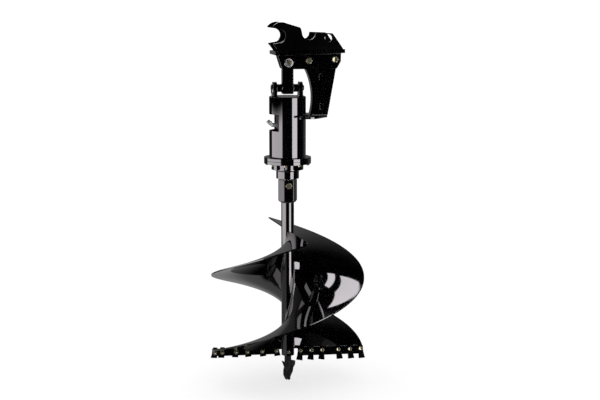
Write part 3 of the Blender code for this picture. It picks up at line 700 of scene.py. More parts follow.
def ear_outline():
    """Hook, rear pin seat and lifting-eye end of one ear, anticlockwise from its lower front corner."""
    rear_end = fillet(
        ((0.373, base_level(0.373, GAP)), (0.373, -0.072), (0.313, 0.014, 0.014), (0.214, 0.018)), False, 8
    )
    shoulder = fillet(((0.134, 0.017), (0.126, 0.047, 0.014), (0.076, 0.062)), False, 8)
    return (
        [(-0.002, base_level(-0.002, GAP))]
        + rear_end
        + arc(REAR_SEAT, SEAT_R, 0, -180, 36)
        + shoulder[1:]
        + arc((0.015, 0.018), 0.060, 70, 146, 20)
        + [(-0.036, 0.045)]
        + arc((0, 0), SEAT_R, 90, -90, 48)
        + [(-0.034, -0.046)]
    )


def build_ears():
    inner = EAR_OUTER_Y - EAR_THICK
    for side, sign, faces in both_sides(EAR_OUTER_Y, EAR_THICK):
        outlines = (ear_outline(), circle(LIFT_HOLE, LIFT_HOLE_R))
        ear = plate(f"hitch_ear_{side}", outlines, *faces, "Y", 0.0018)
        paint(ear, "root", f"hook_ear_{side}", finish="satin_black")
        path = [(x, sign * (inner - 0.001), base_level(x, 0.0012)) for x in (0.002, 0.369)]
        paint(weld(f"ear_weld_{side}", path, 0.0048), "root")
    start, end = BASE_X
    corners = ((start, -BASE_THICK), (end, -BASE_THICK), (end, 0), (start, 0))
    outline = fillet([(x, base_level(x, offset), 0.001) for x, offset in corners], True, 3)
    base = plate("hitch_base", (outline,), -EAR_OUTER_Y, EAR_OUTER_Y, "Y", 0.001)
    paint(base, "root", "base_plate")


def build_bracket():
    under = -BASE_THICK - GAP
    corners = (
        (0.002, base_level(0.002, under)), (0.028, BRACKET_FOOT, 0.016), (0.351, BRACKET_FOOT, 0.020),
        (0.376, -0.150, 0.012), (0.377, base_level(0.377, under)),
    )
    holes = [circle((AXIS_X, SWING_Z), SWING_PIN_R + GAP)]
    holes += [circle(centre, CRADLE_BOLT_R + GAP, 36) for centre in CRADLE_BOLTS]
    for side, sign, faces in both_sides(BRACKET_OUTER_Y, BRACKET_THICK):
        made = plate(f"bracket_{side}", (fillet(corners, True, 8), *holes), *faces, "Y", 0.0015)
        paint(made, "root", f"bracket_plate_{side}")
        path = [(x, sign * (BRACKET_OUTER_Y + 0.001), base_level(x, under - 0.0010)) for x in (0.006, 0.373)]
        paint(weld(f"bracket_weld_{side}", path, 0.0052), "root")


def arm_front(offset, count=28):
    """The cradle arm's front edge, bowed away from the motor, at an offset into the arm."""
    bow = arc_through((0.170, -0.198), (0.208, -0.357), (0.194, ARM_FOOT), count)
    return [(x + offset, z) for x, z in [(0.160, ARM_TOP - 0.008)] + bow]


def arm_back(offset):
    edge = [(0.363, ARM_TOP - 0.008), (0.349, -0.195), (0.301, ARM_FOOT)]
    return [(x - offset, z) for x, z in edge]


def build_cradle():
    outline = [(0.352, ARM_TOP), (0.171, ARM_TOP)] + arm_front(0) + list(reversed(arm_back(0)))
    bolt_holes = [circle(centre, CRADLE_BOLT_R + GAP, 36) for centre in CRADLE_BOLTS]
    slots = {"front": [obround(centre, SLOT_LENGTH, SLOT_R) for centre in SLOT_CENTRES], "rear": []}
    for side, sign, faces in both_sides(ARM_OUTER_Y, ARM_THICK):
        made = plate(f"cradle_arm_{side}", (outline, *bolt_holes, *slots[side]), *faces, "Y", 0.0012)
        paint(made, "root", f"cradle_side_{side}")
        path = [(x, sign * (ARM_OUTER_Y + 0.001), ARM_FOOT + 0.0010) for x in (0.199, 0.297)]
        paint(weld(f"saddle_weld_{side}", path, 0.0045), "root")

    reach = ARM_OUTER_Y - ARM_THICK - GAP
    for side, edge in (("front", arm_front), ("back", arm_back)):
        outline = edge(0)[1:] + list(reversed(edge(ARM_THICK)[1:]))
        made = plate(f"cradle_{side}", (outline,), -reach, reach, "Y", 0.0008)
        paint(made, "root", f"cradle_web_{side}")

    tip, mouth, rear = SADDLE_X
    wide, open_half = SADDLE_HALF_WIDTH, SADDLE_MOUTH_HALF
    corners = (
        (tip, open_half, 0.006), (mouth, open_half, 0.060), (mouth, -open_half, 0.060),
        (tip, -open_half, 0.006), (tip, -wide, 0.008), (0.205, -wide, 0.070), (rear, -0.045, 0.020),
        (rear, 0.045, 0.020), (0.205, wide, 0.070), (tip, wide, 0.008),
    )
    outline = fillet(corners, True, 12)
    top = ARM_FOOT - GAP
    saddle = plate("saddle", (outline,), top - SADDLE_THICK, top, "Z", 0.0015)
    paint(saddle, "root", "saddle_plate")
    dress(block("saddle_rubber", *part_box("saddle_pad"), 0.0025), "root", "rubber", "saddle_pad")


def build_hitch_pins():
    face = BRACKET_OUTER_Y + GAP
    forward = facing((0, -1, 0), (AXIS_X, 0, SWING_Z))
    ring_head = (
        (0, -face - 0.014), (SWING_PIN_R, -face - 0.014, 0.002), (SWING_PIN_R, face, 0),
        (0.0265, face, 0.001), (0.0265, face + 0.007, 0.0025), (0.0158, face + 0.007, 0.0012),
        (0.0150, face + 0.0052, 0), (0, face + 0.0052),
    )
    pin = turned("swing_pin_body", ring_head, 72, forward)
    dress(pin, "root", "bright_steel", "swing_pin")
    core = (
        (0, face + 0.0045), (0.0140, face + 0.0045), (0.0145, face + 0.0100, 0.0014),
        (0.0030, face + 0.0107, 0), (0, face + 0.0107),
    )
    dress(turned("swing_pin_plug", core, 60, forward), "root", "zinc_plate")
    tab = block("swing_pin_lock_tab", (0.024, -0.0024, face), (0.039, 0.0024, face + 0.0035), 0.0008)
    tab.data.transform(forward @ Matrix.Rotation(radians(8), 4, "Z"))
    dress(tab, "root", "dark_casting")
    keeper = (
        (0.030, face, 0.001), (0.030, face + 0.010, 0.0018), (SWING_PIN_R + GAP, face + 0.010, 0.001),
        (SWING_PIN_R + GAP, face, 0),
    )
    collar = turned("swing_pin_keeper", keeper, 72, facing((0, 1, 0), (AXIS_X, 0, SWING_Z)), ring=True)
    dress(collar, "root", "bright_steel", "swing_pin_collar")

    radii = (CRADLE_BOLT_R, CRADLE_BOLT_R * 0.97, CRADLE_BOLT_R - GAP)
    for node, at in zip(("cradle_bolt_upper", "cradle_bolt_rear"), CRADLE_BOLTS):
        through_bolt(
            f"{node}_set", "root", node, at, face, (0.036, 0.0115), (0.036, 0.0110), 0.0145, 0.0182, radii
        )


# ---- swinging link


CROSS_PLACE = facing((1, 0, 0), (AXIS_X, 0, CROSS_Z))


def build_link():
    low = CROSS_Z - 0.035
    left, right = AXIS_X - LINK_HALF_WIDTH, AXIS_X + LINK_HALF_WIDTH
    outline = arc((AXIS_X, SWING_Z), LINK_HALF_WIDTH, 0, 180, 40) + fillet(
        ((left, SWING_Z - 0.001), (left, low, 0.005), (right, low, 0.005), (right, SWING_Z - 0.001)), True, 6
    )
    hole = circle((AXIS_X, SWING_Z), 0.024 + GAP)
    link = plate("link_bar", (outline, hole), -LINK_HALF_DEPTH, LINK_HALF_DEPTH, "Y", 0.0022)
    cut(link, rod("bore", CROSS_BOSS_R - 0.0005, 0.1, 72, CROSS_PLACE))
    paint(link, "link", "swing_link")
    half = CROSS_BOSS_HALF
    corners = (
        (CROSS_BOSS_R, -half, 0.0012), (CROSS_BOSS_R, half, 0.0012), (0.0193, half, 0.0006),
        (0.0193, -half, 0.0006),
    )
    tube = turned("link_cross_tube", corners, 72, CROSS_PLACE, ring=True)
    paint(tube, "link", "swing_link")
    for side, sign in (("left", -1), ("right", 1)):
        x = AXIS_X + sign * (LINK_HALF_WIDTH + 0.0008)
        ring = [(x, y, z) for y, z in arc((0, CROSS_Z), 0.0245, 0, 360, 96)]
        paint(weld(f"cross_tube_weld_{side}", ring, 0.0032, True), "link")


# ---- drive unit


def build_clevis():
    depth = CLEVIS_HALF_DEPTH
    foot = HOOD_TOP + GAP
    outline = arc((0, CLEVIS_TOP - depth), depth, 0, 180, 40) + [(-depth, foot), (depth, foot)]
    hole = circle((0, CROSS_Z), CROSS_PIN_R + GAP)
    inner, outer = CLEVIS_INNER_X, CLEVIS_INNER_X + CLEVIS_THICK
    for name, low, high in (("left", -outer, -inner), ("right", inner, outer)):
        ear = plate(f"clevis_{name}", (outline, hole), AXIS_X + low, AXIS_X + high, "X", 0.0018)
        paint(ear, "drive", f"clevis_ear_{name}")
        faces = []
        for x in (AXIS_X + low - 0.001, AXIS_X + high + 0.001):
            path = [(x, y, HOOD_TOP + 0.0008) for y in (-depth + 0.001, depth - 0.001)]
            faces.append(weld("face", path, 0.0042))
        paint(joined(f"clevis_weld_{name}", faces), "drive")

    ends = (
        (0, outer + 0.010), (CROSS_PIN_R, outer + 0.010, 0.0025), (CROSS_PIN_R, -outer - 0.011, 0.0025),
        (0, -outer - 0.011),
    )
    pin = turned("cross_pin_body", ends, 60, CROSS_PLACE)
    dress(pin, "drive", "dark_casting", "cross_pin")
    low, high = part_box("linch_ring")
    middle = (low + high) / 2
    minor = (high.x - low.x) / 2
    major = (high.y - low.y) / 2 - minor
    ring = [(middle.x, y, z) for y, z in circle((middle.y, middle.z), major, 72)]
    dress(sweep("linch_pin_ring", ring, minor, 14, True), "drive", "bright_steel", "linch_ring")


def build_hood():
    inner = HOOD_R - HOOD_WALL
    foot = HOOD_FLANGE_TOP - FLANGE_THICK
    profile = (
        (0, HOOD_TOP), (HOOD_R, HOOD_TOP, 0.006), (HOOD_R, HOOD_FLANGE_TOP, 0.003),
        (FLANGE_R, HOOD_FLANGE_TOP, 0.002), (FLANGE_R, foot, 0.0012), (inner, foot),
        (inner, HOOD_TOP - HOOD_LID), (0, HOOD_TOP - HOOD_LID),
    )
    hood = turned("hood_shell", profile, 160, count=5)
    low = (-HOOD_R - 0.02, -HOOD_R, WINDOW_Z[0])
    cut(hood, block("opening", low, (-WINDOW_EDGE, HOOD_R, WINDOW_Z[1]), 0.003))
    hood.data.transform(ON_AXIS)
    paint(hood, "drive", "motor_hood")


def build_motor():
    body = (
        (0, MOTOR_HEAD), (MOTOR_R, MOTOR_HEAD, 0.002), (MOTOR_R, MOTOR_HEAD - 0.030, 0),
        (MOTOR_R - 0.003, MOTOR_HEAD - 0.032, 0), (MOTOR_R - 0.003, MOTOR_HEAD - 0.036, 0),
        (MOTOR_R, MOTOR_HEAD - 0.038, 0), (MOTOR_R, MOTOR_FOOT + 0.014, 0.003),
        (0.078, MOTOR_FOOT + 0.014, 0.002), (0.078, MOTOR_FOOT, 0.0008), (0.0160, MOTOR_FOOT, 0),
        (0.0160, MOTOR_FOOT + 0.060), (0, MOTOR_FOOT + 0.060),
    )
    dress(turned("motor_case", body, 80, ON_AXIS), "drive", "dark_casting", "motor_body")
    half = BLOCK_HALF
    outline = fillet(rectangle(half, half, -half, -half, 0.012), True, 8)
    port_block = plate("motor_valve_block", (outline,), MOTOR_HEAD + GAP, BLOCK_TOP, "Z", 0.002, ON_AXIS)
    dress(port_block, "drive", "dark_casting", "motor_port_block")
    cap = (
        (0, END_CAP_TOP), (END_CAP_R, END_CAP_TOP, 0.008), (END_CAP_R, BLOCK_TOP + GAP, 0.001),
        (0, BLOCK_TOP + GAP),
    )
    dress(turned("motor_cap", cap, 72, ON_AXIS, 6), "drive", "dark_casting", "motor_end_cap")
    bolts = []
    for at in around_axis(4, 0.066, BLOCK_TOP, 45):
        bolts.append(bolt_head("head", 0.017, 0.008, Matrix.Translation(at), 0.0095))
    dress(joined("motor_block_bolts", bolts), "drive", "zinc_plate")

    start = AXIS_X - BLOCK_HALF - GAP
    for name, y in (("pressure", -PORT_Y), ("return", PORT_Y)):
        bend = [(x, y, z) for x, z in arc((start - 0.024, PORT_Z + 0.019), 0.019, -90, -135, 8)]
        tip = Vector((start - 0.051, y, PORT_Z + 0.022))
        inlet = [(start, y, PORT_Z), (start - 0.016, y, PORT_Z)]
        route = inlet + bend + [tip + Vector((0.0035, 0, -0.0035)), tip]
        collar = (
            (0, -0.014), (ELBOW_R, -0.014, 0.001), (ELBOW_R, 0, 0.001), (ELBOW_R * 0.55, 0, 0),
            (ELBOW_R * 0.5, -0.008), (0, -0.008),
        )
        parts = [
            sweep("elbow", route, ELBOW_R * 0.86, 32),
            bolt_head("port_nut", ELBOW_R * 2.3, 0.010, facing((-1, 0, 0), (start, y, PORT_Z))),
            turned("collar", collar, 40, facing((-1, 0, 1), tip), 3),
        ]
        fitting = joined(f"hose_elbow_{name}", parts)
        dress(fitting, "drive", "bright_steel", f"port_elbow_{name}", finish="brushed_steel")


VIEW_ANGLE = -99.5  # the direction from the auger's axis to the camera, in degrees
FLANGE_BOLTS = 9
FLANGE_BOLT_R = 0.124
LUG_COUNT = 3


def build_housing():
    top, foot = HOUSING_TOP, HOUSING_TOP - FLANGE_THICK
    profile = (
        (RING_R, RING_FOOT - GAP), (RING_R, top), (FLANGE_R, top, 0.0012), (FLANGE_R, foot, 0.002),
        (0.078, foot, 0.003), (0.0755, HOUSING_STEP, 0.004), (HOUSING_NOSE_R, HOUSING_STEP - 0.004, 0.003),
        (HOUSING_NOSE_R, HOUSING_FOOT, 0.0022), (0.046, HOUSING_FOOT, 0.0006), (0.046, -0.822),
        (0.052, -0.822), (0.052, -0.7995), (0.038, -0.7995), (0.038, -0.7540), (0.056, -0.7540),
        (0.056, -0.7315), (0.090, -0.7315), (0.090, RING_FOOT - GAP),
    )
    housing = turned("gear_housing", profile, 144, ON_AXIS, ring=True)
    paint(housing, "drive", "output_housing")

    lugs = []
    half = 24  # of a lug's width, in degrees about the axis
    for i in range(LUG_COUNT):
        centre = VIEW_ANGLE - 66 + 360 / LUG_COUNT * i
        low, high = (polar(HOUSING_R, radians(centre + side * half)) for side in (-1, 1))
        rim = arc((0, 0), HOUSING_R, centre - half + 3, centre + half - 3, 20)
        outline = arc((0, 0), 0.0690, centre + half, centre - half, 12)
        outline += fillet([(*low, 0.004)] + rim + [(*high, 0.004)], False, 3)
        lug = plate("lug", (outline,), HOUSING_STEP + 0.004, foot + 0.001, "Z", 0.003, ON_AXIS)
        out = Vector((*polar(1, radians(centre + 4)), 0))
        plug_at = AXIS + out * 0.088 + Vector((0, 0, (foot + HOUSING_STEP) / 2))
        hole = lathe(
            "hole", ((0, 0.02), (0.0062, 0.02), (0.0062, 0), (0, 0)), 32, place=facing(out, plug_at)
        )
        lugs.append(cut(lug, hole))
    paint(joined("housing_lugs", lugs), "drive")

    profile = ((0, 0), (0.0066, 0), (0.0066, 0.031, 0.0012), (0.0040, 0.031), (0.0036, 0.027), (0, 0.027))
    studs = []
    for at in around_axis(LUG_COUNT, 0.0805, foot, VIEW_ANGLE - 6):
        studs.append(turned("stud", profile, 32, facing((0, 0, -1), at), 3))
    paint(joined("case_studs", studs), "drive")

    bolts = []
    for at in around_axis(FLANGE_BOLTS, FLANGE_BOLT_R, foot, VIEW_ANGLE - 5):
        bolts.append(bolt_head("head", 0.0185, 0.0095, facing((0, 0, -1), at), 0.0112))
    dress(joined("flange_bolts", bolts), "drive", "zinc_plate")


# ---- auger


def build_hub():
    corner = HUB_CORNER_R
    apothem = corner * cos(pi / 6)
    blunt = 1.2  # half of a blunted corner, in degrees about the axis
    face_steps = (blunt, 10, 20, 30, 40, 50, 60 - blunt)
    angles = [radians(60 * k + step) for k in range(6) for step in face_steps]
    chamfer = 0.0085
    levels = [
        (corner - 0.0030, HUB_TOP), (corner - 0.0014, HUB_TOP - 0.0012), (corner, HUB_TOP - 0.003),
        (corner, HUB_FOOT + chamfer),
    ]
    for k in range(1, 5):
        levels.append((corner - 0.0006 - chamfer * 1.1 * k / 4, HUB_FOOT + chamfer * (1 - k / 4)))
    levels.append((TUBE_R * 0.6, HUB_FOOT))
    work = bmesh.new()
    rings = [hexagon_row(work, angles, apothem, limit, level) for limit, level in levels]
    poles = [[work.verts.new((0, 0, level))] for level in (HUB_FOOT, HUB_TOP)]
    bridge(work, [poles[1], *rings, poles[0]])
    hub = weighted(to_object("hub_hexagon", work, 25))
    socket = plate(
        "socket", (circle((0, 0), SOCKET_CORNER_R, 6),), SOCKET_FLOOR, HUB_TOP + 0.02, "Z", 0.0005
    )
    cut(hub, socket, rod("cross", HUB_BOLT_R + GAP, 0.08, 36, facing((0, 1, 0), (0, 0, HUB_BOLT_Z))))
    hub.data.transform(ON_AXIS)
    paint(hub, "auger", "hub_collar", finish="hub_black")

    at = (AXIS_X, HUB_BOLT_Z)
    radii = (HUB_BOLT_R, HUB_BOLT_R * 0.97, HUB_BOLT_R - GAP)
    head, nut = (0.0350, 0.0100), (0.0350, 0.0120)
    through_bolt("hub_bolt_set", "auger", "hub_bolt", at, apothem + GAP, head, nut, 0.0138, 0.0183, radii)
    ring = [(x, y, HUB_FOOT - 0.0012) for x, y in arc((AXIS_X, 0), TUBE_R, 0, 360, 96)]
    paint(weld("hub_weld", ring, 0.0034, True), "auger")


def build_tube():
    top = HUB_FOOT - GAP
    profile = (
        (TUBE_R, top, 0.0005), (TUBE_R, TUBE_FOOT, 0.0016), (TUBE_R - TUBE_WALL, TUBE_FOOT, 0.0008),
        (TUBE_R - TUBE_WALL, top, 0.0005),
    )
    tube = turned("centre_tube", profile, 96, ON_AXIS, ring=True)
    paint(tube, "auger", "auger_tube")


def helix_point(turn, angle, radius, lift=0.0):
    """A point on a flight's middle surface, moved along the surface's normal."""
    theta = FLIGHT_START + turn + angle
    rise = FLIGHT_PITCH / tau
    radial = Vector((*polar(1, theta), 0))
    at = radial * radius + Vector((0, 0, AUGER_FOOT + FLIGHT_THICK / 2 + rise * angle))
    along = Vector((-radius * sin(theta), radius * cos(theta), rise)).normalized()
    return AXIS + at + radial.cross(along) * lift


FLIGHT_ROWS = 190
FLIGHT_COLUMNS = 26
FLIGHT_CROWDING = 1.25  # above 1, the columns stand closer together beside the tube
BEAD_POINTS = 400
BEAD_MARGIN = 0.004  # of the flight's sweep, without a bead at each end


def build_flights():
    half = FLIGHT_THICK / 2
    inner, outer = TUBE_R + 0.0006, FLIGHT_R
    edge = 0.0015
    for name, turn in STARTS:
        section = []
        for k in range(FLIGHT_COLUMNS + 1):
            share = (k / FLIGHT_COLUMNS) ** FLIGHT_CROWDING
            section.append((inner + (outer - edge - inner) * share, half))
        for k in range(1, 4):
            angle = pi / 2 * k / 4
            section.append((outer - edge * (1 - sin(angle)), half - edge * (1 - cos(angle))))
        section += [(outer, half - edge), (outer, edge - half)]
        section += [(r, -h) for r, h in reversed(section[:-2])]
        work = bmesh.new()
        rings = []
        for i in range(FLIGHT_ROWS + 1):
            angle = FLIGHT_CUT + (FLIGHT_SWEEP - FLIGHT_CUT) * i / FLIGHT_ROWS
            rings.append([work.verts.new(helix_point(turn, angle, r, h)) for r, h in section])
        bridge(work, rings)
        for end in (rings[0], rings[-1]):
            count = len(end)
            for k in range(count // 2 - 1):
                work.faces.new((end[k], end[k + 1], end[count - 2 - k], end[count - 1 - k]))
        flight = weighted(to_object(f"auger_flight_{name}", work))
        paint(flight, "auger", f"flight_{name}")

        beads = []
        for face in (-1, 1):
            path = []
            for i in range(BEAD_POINTS):
                share = BEAD_MARGIN + (1 - 2 * BEAD_MARGIN) * i / (BEAD_POINTS - 1)
                angle = FLIGHT_CUT + (FLIGHT_SWEEP - FLIGHT_CUT) * share
                path.append(helix_point(turn, angle, TUBE_R + 0.0012, face * (half + 0.0006)))
            beads.append(weld("bead", path, 0.0036))
        paint(joined(f"flight_weld_{name}", beads), "auger")


def cutter_place(turn):
    angle = FLIGHT_START + FLIGHT_CUT + turn
    lead = Vector((sin(angle), -cos(angle), 0)) * BAR_LEAD
    at = AXIS + Vector((0, 0, AUGER_FOOT + BAR_MID_Z)) + lead
    return Matrix.Translation(at) @ Matrix.Rotation(angle, 4, "Z") @ Matrix.Rotation(-BAR_TILT, 4, "X")


def tooth(name, place):
    """A flat shank that flares to a chisel edge, its back ground away below the bar."""
    half = TOOTH_WIDTH / 2
    top = BAR_HEIGHT / 2 + 0.002
    foot = -BAR_HEIGHT / 2
    tip = foot - TOOTH_DROP
    corners = (
        (half - 0.003, top, 0.005), (-half + 0.003, top, 0.005), (-half + 0.001, foot, 0.006),
        (-half - 0.002, tip + 0.005, 0.002), (-half - 0.002, tip, 0.001), (half + 0.002, tip, 0.001),
        (half + 0.002, tip + 0.005, 0.002), (half - 0.001, foot, 0.006),
    )
    made = plate(name, (fillet(corners, True, 4),), BAR_FRONT - TOOTH_THICK, BAR_FRONT, "Y", 0.0012)
    for vert in made.data.vertices:
        below = max(0.0, (foot + 0.004 - vert.co.z) / (TOOTH_DROP + 0.004))
        depth = BAR_FRONT - vert.co.y
        vert.co.y = BAR_FRONT - TOOTH_THICK + (TOOTH_THICK - depth) * (1 - TOOTH_GRIND * below)
    made.data.transform(place)
    return made


def build_cutters():
    for name, turn in STARTS:
        place = cutter_place(turn)
        half = BAR_HEIGHT / 2
        outline = fillet(rectangle(BAR_INNER_R, -half, FLIGHT_R, half, 0.004), True, 4)
        bar = plate(f"bar_{name}", (outline,), -BAR_THICK, 0, "Y", 0.0012, place)
        paint(bar, "auger", f"cutter_bar_{name}")
        bolts = []
        for i, radius in enumerate(TEETH[name]):
            lean = Matrix.Rotation(radians(TEETH_LEAN[i]), 4, "Y")
            spot = place @ Matrix.Translation((radius, 0, 0)) @ lean
            made = tooth(f"cutting_tooth_{name}{i + 1}", spot)
            dress(made, "auger", "dark_casting", f"tooth_{name}{i + 1}", finish="satin_black")
            head = spot @ facing((0, -1, 0), (0, BAR_FRONT - TOOTH_THICK, 0.002))
            nut = spot @ facing((0, 1, 0), (0, 0, 0.002))
            bolts.append(bolt_head("head", 0.0230, 0.0070, head, 0.0125))
            bolts.append(bolt_head("nut", 0.0240, 0.0085, nut, 0.0130, 0.0062))
            bolts.append(stud_end("end", 0.0060, 0.0150, nut))
        dress(joined(f"tooth_bolts_{name}", bolts), "auger", "zinc_plate")
        ends = (BAR_INNER_R + 0.004, FLIGHT_R - 0.004)
        path = [place @ Vector((x, -BAR_THICK * 0.5, half + 0.0004)) for x in ends]
        paint(weld(f"bar_weld_{name}", path, 0.0036), "auger")


def pilot_outline():
    """The fishtail blade: a cutting wing on one side, a spur on the other and a split tip."""
    wing = (
        (0.018, -0.0500), (0.045, -0.0555), (0.044, -0.0770), (0.033, -0.0966), (0.030, -0.1200),
        (0.021, -0.1395), (0.0134, -0.1590), (0.0162, -0.1660), (0.0043, PILOT_TIP),
    )
    spur = (
        (0.0000, -0.1690), (-0.0120, -0.1725), (-0.0200, -0.1610), (-0.0280, -0.1430), (-0.0280, -0.1130),
        (-0.0230, -0.0930), (-0.0290, -0.0770), (-0.0384, -0.0520), (-0.0180, -0.0620),
    )
    return fillet([(x, AUGER_FOOT + z, 0.001) for x, z in wing + spur], True, 3)


def build_pilot():
    """A round shank that tapers to a point, with a fishtail blade through it."""
    profile = (
        (0, TUBE_FOOT + 0.075), (PILOT_SHANK_R, TUBE_FOOT + 0.075, 0.001),
        (PILOT_SHANK_R, TUBE_FOOT - GAP, 0.002), (PILOT_NECK, TUBE_FOOT - 0.008, 0.004),
        (PILOT_NECK, AUGER_FOOT + PILOT_TAPER_TOP, 0.010), (0.012, AUGER_FOOT - 0.150, 0.004),
        (0.002, AUGER_FOOT - 0.168), (0, AUGER_FOOT - 0.168),
    )
    shank = turned("pilot_shank", profile, 64, ON_AXIS, 5)
    dress(shank, "auger", "dark_casting", "pilot_bit")
    blade = plate("pilot_blade", (pilot_outline(),), -0.006, 0.006, "Y", 0.0012, ON_AXIS)
    dress(blade, "auger", "dark_casting", "pilot_bit")

    at = (AXIS_X, PILOT_BOLT_Z)
    flats, radii = (0.0190, 0.0080), (0.0065, 0.0063, 0.0062)
    through_bolt(
        "pilot_bolt_set", "auger", "pilot_bolt", at, TUBE_R + GAP, flats, flats, 0.0080, 0.0105, radii, 24
    )


# ---- inside parts, kept from the CAD


def dress_inside():
    """The CAD nodes that stay get the finish of their slot and slightly rounded edges."""
    kept = {
        "bronze": ("swing_bush", "cross_bush"), "dark_casting": ("gearbox_cover",),
        "gear_steel": (
            "ring_gear", "sun_gear_shaft", "planet_gear_1", "planet_gear_2", "planet_gear_3",
            "planet_carrier_shaft", "upper_bearing", "lower_bearing",
        ),
        "rubber": ("shaft_seal",),
    }
    for slot, names in kept.items():
        for name in names:
            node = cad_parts[name]
            node.data.materials.clear()
            node.data.materials.append(FINISHES[slot])
            bevel = node.modifiers.new("Edges", "BEVEL")
            bevel.width = 0.0004
            bevel.segments = 2
            bevel.limit_method = "ANGLE"
            bevel.angle_limit = radians(50)


# ---- camera, floor and light


CAMERA_AT = (-1.1487, -7.2335, 0.2062)
CAMERA_YAW = -9.53  # degrees
CAMERA_PITCH = -9.09
CAMERA_LENS = 75.23
FRAMING_YAW = -0.576  # puts the auger left of the frame's middle
FLOOR_Z = AUGER_FOOT + PILOT_TIP - 0.006
FLOOR_HALF = 60
FLOOR_GREYS = ((0.34, 0.34, 0.34), (0.36, 0.36, 0.36))
FLOOR_GLOW = 0.66
ROOM_GLOW = 1.12  # the even white that every ray but a glossy one meets


def build_camera():
    data = bpy.data.cameras.new("camera")
    data.lens = CAMERA_LENS
    data.sensor_width = 36
    data.clip_start = 0.05
    data.clip_end = 200
    camera = placed("camera", data)
    camera.location = CAMERA_AT
    camera.rotation_euler = (radians(90 + CAMERA_PITCH), 0, radians(CAMERA_YAW + FRAMING_YAW))
    bpy.context.scene.camera = camera


def build_floor():
    work = bmesh.new()
    square = ((-1, -1), (1, -1), (1, 1), (-1, 1))
    work.faces.new([work.verts.new((x * FLOOR_HALF, y * FLOOR_HALF, FLOOR_Z)) for x, y in square])
    floor = to_object("floor", work)
    material, tree, shader = principled("white_floor")
    grey = two_tone(tree, noise(tree, 0.8), *FLOOR_GREYS)
    feed(tree, shader, {"Base Color": grey, "Roughness": 0.9, "Specular IOR Level": 0.0})
    feed(tree, shader, {"Emission Color": (1, 1, 1, 1), "Emission Strength": FLOOR_GLOW})
    floor.data.materials.append(material)
    floor.visible_glossy = False


LAMP_TINT = (1.01, 0.955, 1.0, 1)
# bearings run to the right from the camera's direction, in degrees, and lengths are in metres:
# name, bearing, distance from the auger's axis, side-to-side, low to high, slope, strength, soft edge
SOFTBOXES = (
    ("strip_softbox", 46, 2.5, (-0.77, 0.705), (-2.15, 0.50), 0.0, 3.05, 0.04),
    ("left_softbox", -73, 1.7, (-1.46, 1.57), (-1.75, -0.53), 0.0, 1.98, 0.20),
    ("back_softbox", 180, 1.5, (-0.42, 0.36), (0.18, 1.40), -0.77, 2.75, 0.05),
)
# height, side-to-side, distance behind the axis, strength, soft edge
CEILING_SOFTBOX = (1.2, (-0.40, 0.45), (0.60, 1.05), 3.05, 0.05)
# the room's faint glow in the paint: bearings, elevations, strength, soft edge, all by angle
GLOWS = (
    ((-200, -25), (-75, -11), 0.25, 14), ((-150, -52), (6, 38), 0.13, 18), ((125, 220), (-40, 28), 0.20, 50),
    ((-220, -150), (-40, 28), 0.20, 20),
)


def softbox(name, centre, across, up, strength, soft):
    """A glowing panel with soft edges, seen only in reflections."""
    work = bmesh.new()
    layer = work.loops.layers.uv.new("spread")
    corners = ((0, 0), (1, 0), (1, 1), (0, 1))
    verts = [work.verts.new(centre + across * (2 * u - 1) + up * (2 * v - 1)) for u, v in corners]
    face = work.faces.new(verts)
    for loop in face.loops:
        loop[layer].uv = corners[verts.index(loop.vert)]
    panel = to_object(name, work)
    material, tree, _ = principled(name)
    tree.nodes.clear()
    place = add_node(tree, "ShaderNodeUVMap", uv_map="spread").outputs["UV"]
    split = add_node(tree, "ShaderNodeSeparateXYZ", {"Vector": place})
    lit = strength
    for value, length in ((split.outputs["X"], across.length * 2), (split.outputs["Y"], up.length * 2)):
        for start, end in ((0, soft / length), (1, 1 - soft / length)):
            lit = maths(tree, "MULTIPLY", soft_step(tree, value, start, end), lit)
    glow = add_node(tree, "ShaderNodeEmission", {"Color": LAMP_TINT, "Strength": lit})
    add_node(tree, "ShaderNodeOutputMaterial", {"Surface": glow.outputs[0]})
    panel.data.materials.append(material)
    material.cycles.emission_sampling = "NONE"
    panel.visible_camera = False
    panel.visible_diffuse = False
    panel.visible_transmission = False
    panel.visible_shadow = False


def soft_step(tree, value, start, end):
    inputs = {"Value": value, "From Min": start, "From Max": end}
    return add_node(tree, "ShaderNodeMapRange", inputs, interpolation_type="SMOOTHSTEP").outputs["Result"]


def build_softboxes():
    for name, bearing, distance, side, height, slope, strength, soft in SOFTBOXES:
        angle = radians(VIEW_ANGLE + bearing)
        out = Vector((cos(angle), sin(angle), 0))
        across = Vector((-sin(angle), cos(angle), 0))
        centre = AXIS + out * distance + across * sum(side) / 2 + Vector((0, 0, sum(height) / 2))
        up = Vector((0, 0, (height[1] - height[0]) / 2))
        sloping = across + Vector((0, 0, slope))
        softbox(name, centre, sloping * (side[1] - side[0]) / 2, up, strength, soft)
    view = radians(VIEW_ANGLE)
    right = Vector((-sin(view), cos(view), 0))
    away = Vector((-cos(view), -sin(view), 0))
    height, side, depth, strength, soft = CEILING_SOFTBOX
    centre = AXIS + right * sum(side) / 2 + away * sum(depth) / 2 + Vector((0, 0, height))
    half = ((side[1] - side[0]) / 2, (depth[1] - depth[0]) / 2)
    softbox("near_ceiling_softbox", centre, right * half[0], away * half[1], strength, soft)


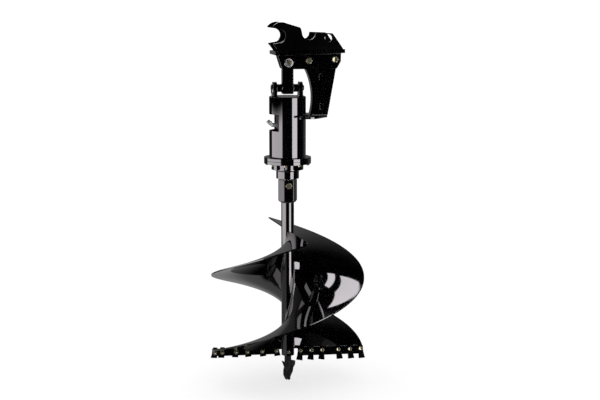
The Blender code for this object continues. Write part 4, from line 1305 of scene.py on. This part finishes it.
def glow_light(tree, azimuth, elevation, spans, heights, strength, soft):
    """A faint glow by direction: full inside its edges and 0 outside."""
    lit = strength
    for value, (low, high) in ((azimuth, spans), (elevation, heights)):
        for limit, sign in ((low, 1), (high, -1)):
            start = radians(limit - sign * soft / 2)
            end = radians(limit + sign * soft / 2)
            lit = maths(tree, "MULTIPLY", soft_step(tree, value, start, end), lit)
    return lit


def build_light():
    """A white studio: the pieces mirror a few softboxes, and everything else sees an even white room."""
    world = bpy.data.worlds.new("studio")
    bpy.context.scene.world = world
    world.use_nodes = True
    tree = world.node_tree
    tree.nodes.clear()
    place = add_node(tree, "ShaderNodeTexCoord").outputs["Generated"]
    inputs = {"Angle": radians(-90 - VIEW_ANGLE), "Vector": place}
    turn = add_node(tree, "ShaderNodeVectorRotate", inputs, rotation_type="Z_AXIS")
    # x now runs to the right of the camera's direction and -y runs to the camera
    x, y, z = add_node(tree, "ShaderNodeSeparateXYZ", {"Vector": turn.outputs["Vector"]}).outputs
    azimuth = maths(tree, "ARCTAN2", x, maths(tree, "MULTIPLY", y, -1))
    elevation = maths(tree, "ARCSINE", z)
    total = 0
    for glow in GLOWS:
        total = maths(tree, "ADD", glow_light(tree, azimuth, elevation, *glow), total)
    room = add_node(tree, "ShaderNodeBackground", {"Strength": total})
    white = add_node(tree, "ShaderNodeBackground", {"Color": (1, 1, 1, 1), "Strength": ROOM_GLOW})
    path = add_node(tree, "ShaderNodeLightPath").outputs["Is Glossy Ray"]
    mix = add_node(tree, "ShaderNodeMixShader", {0: path, 1: white.outputs[0], 2: room.outputs[0]})
    add_node(tree, "ShaderNodeOutputWorld", {"Surface": mix.outputs[0]})
    world.cycles.sampling_method = "NONE"
    bpy.context.scene.view_settings.view_transform = "Standard"
    bpy.context.scene.view_settings.look = "None"


BUILDERS = (
    build_ears, build_bracket, build_cradle, build_hitch_pins, build_link, build_clevis, build_hood,
    build_motor, build_housing, build_hub, build_tube, build_flights, build_cutters, build_pilot,
    dress_inside, build_camera, build_floor, build_softboxes, build_light,
)
for build in BUILDERS:
    build()
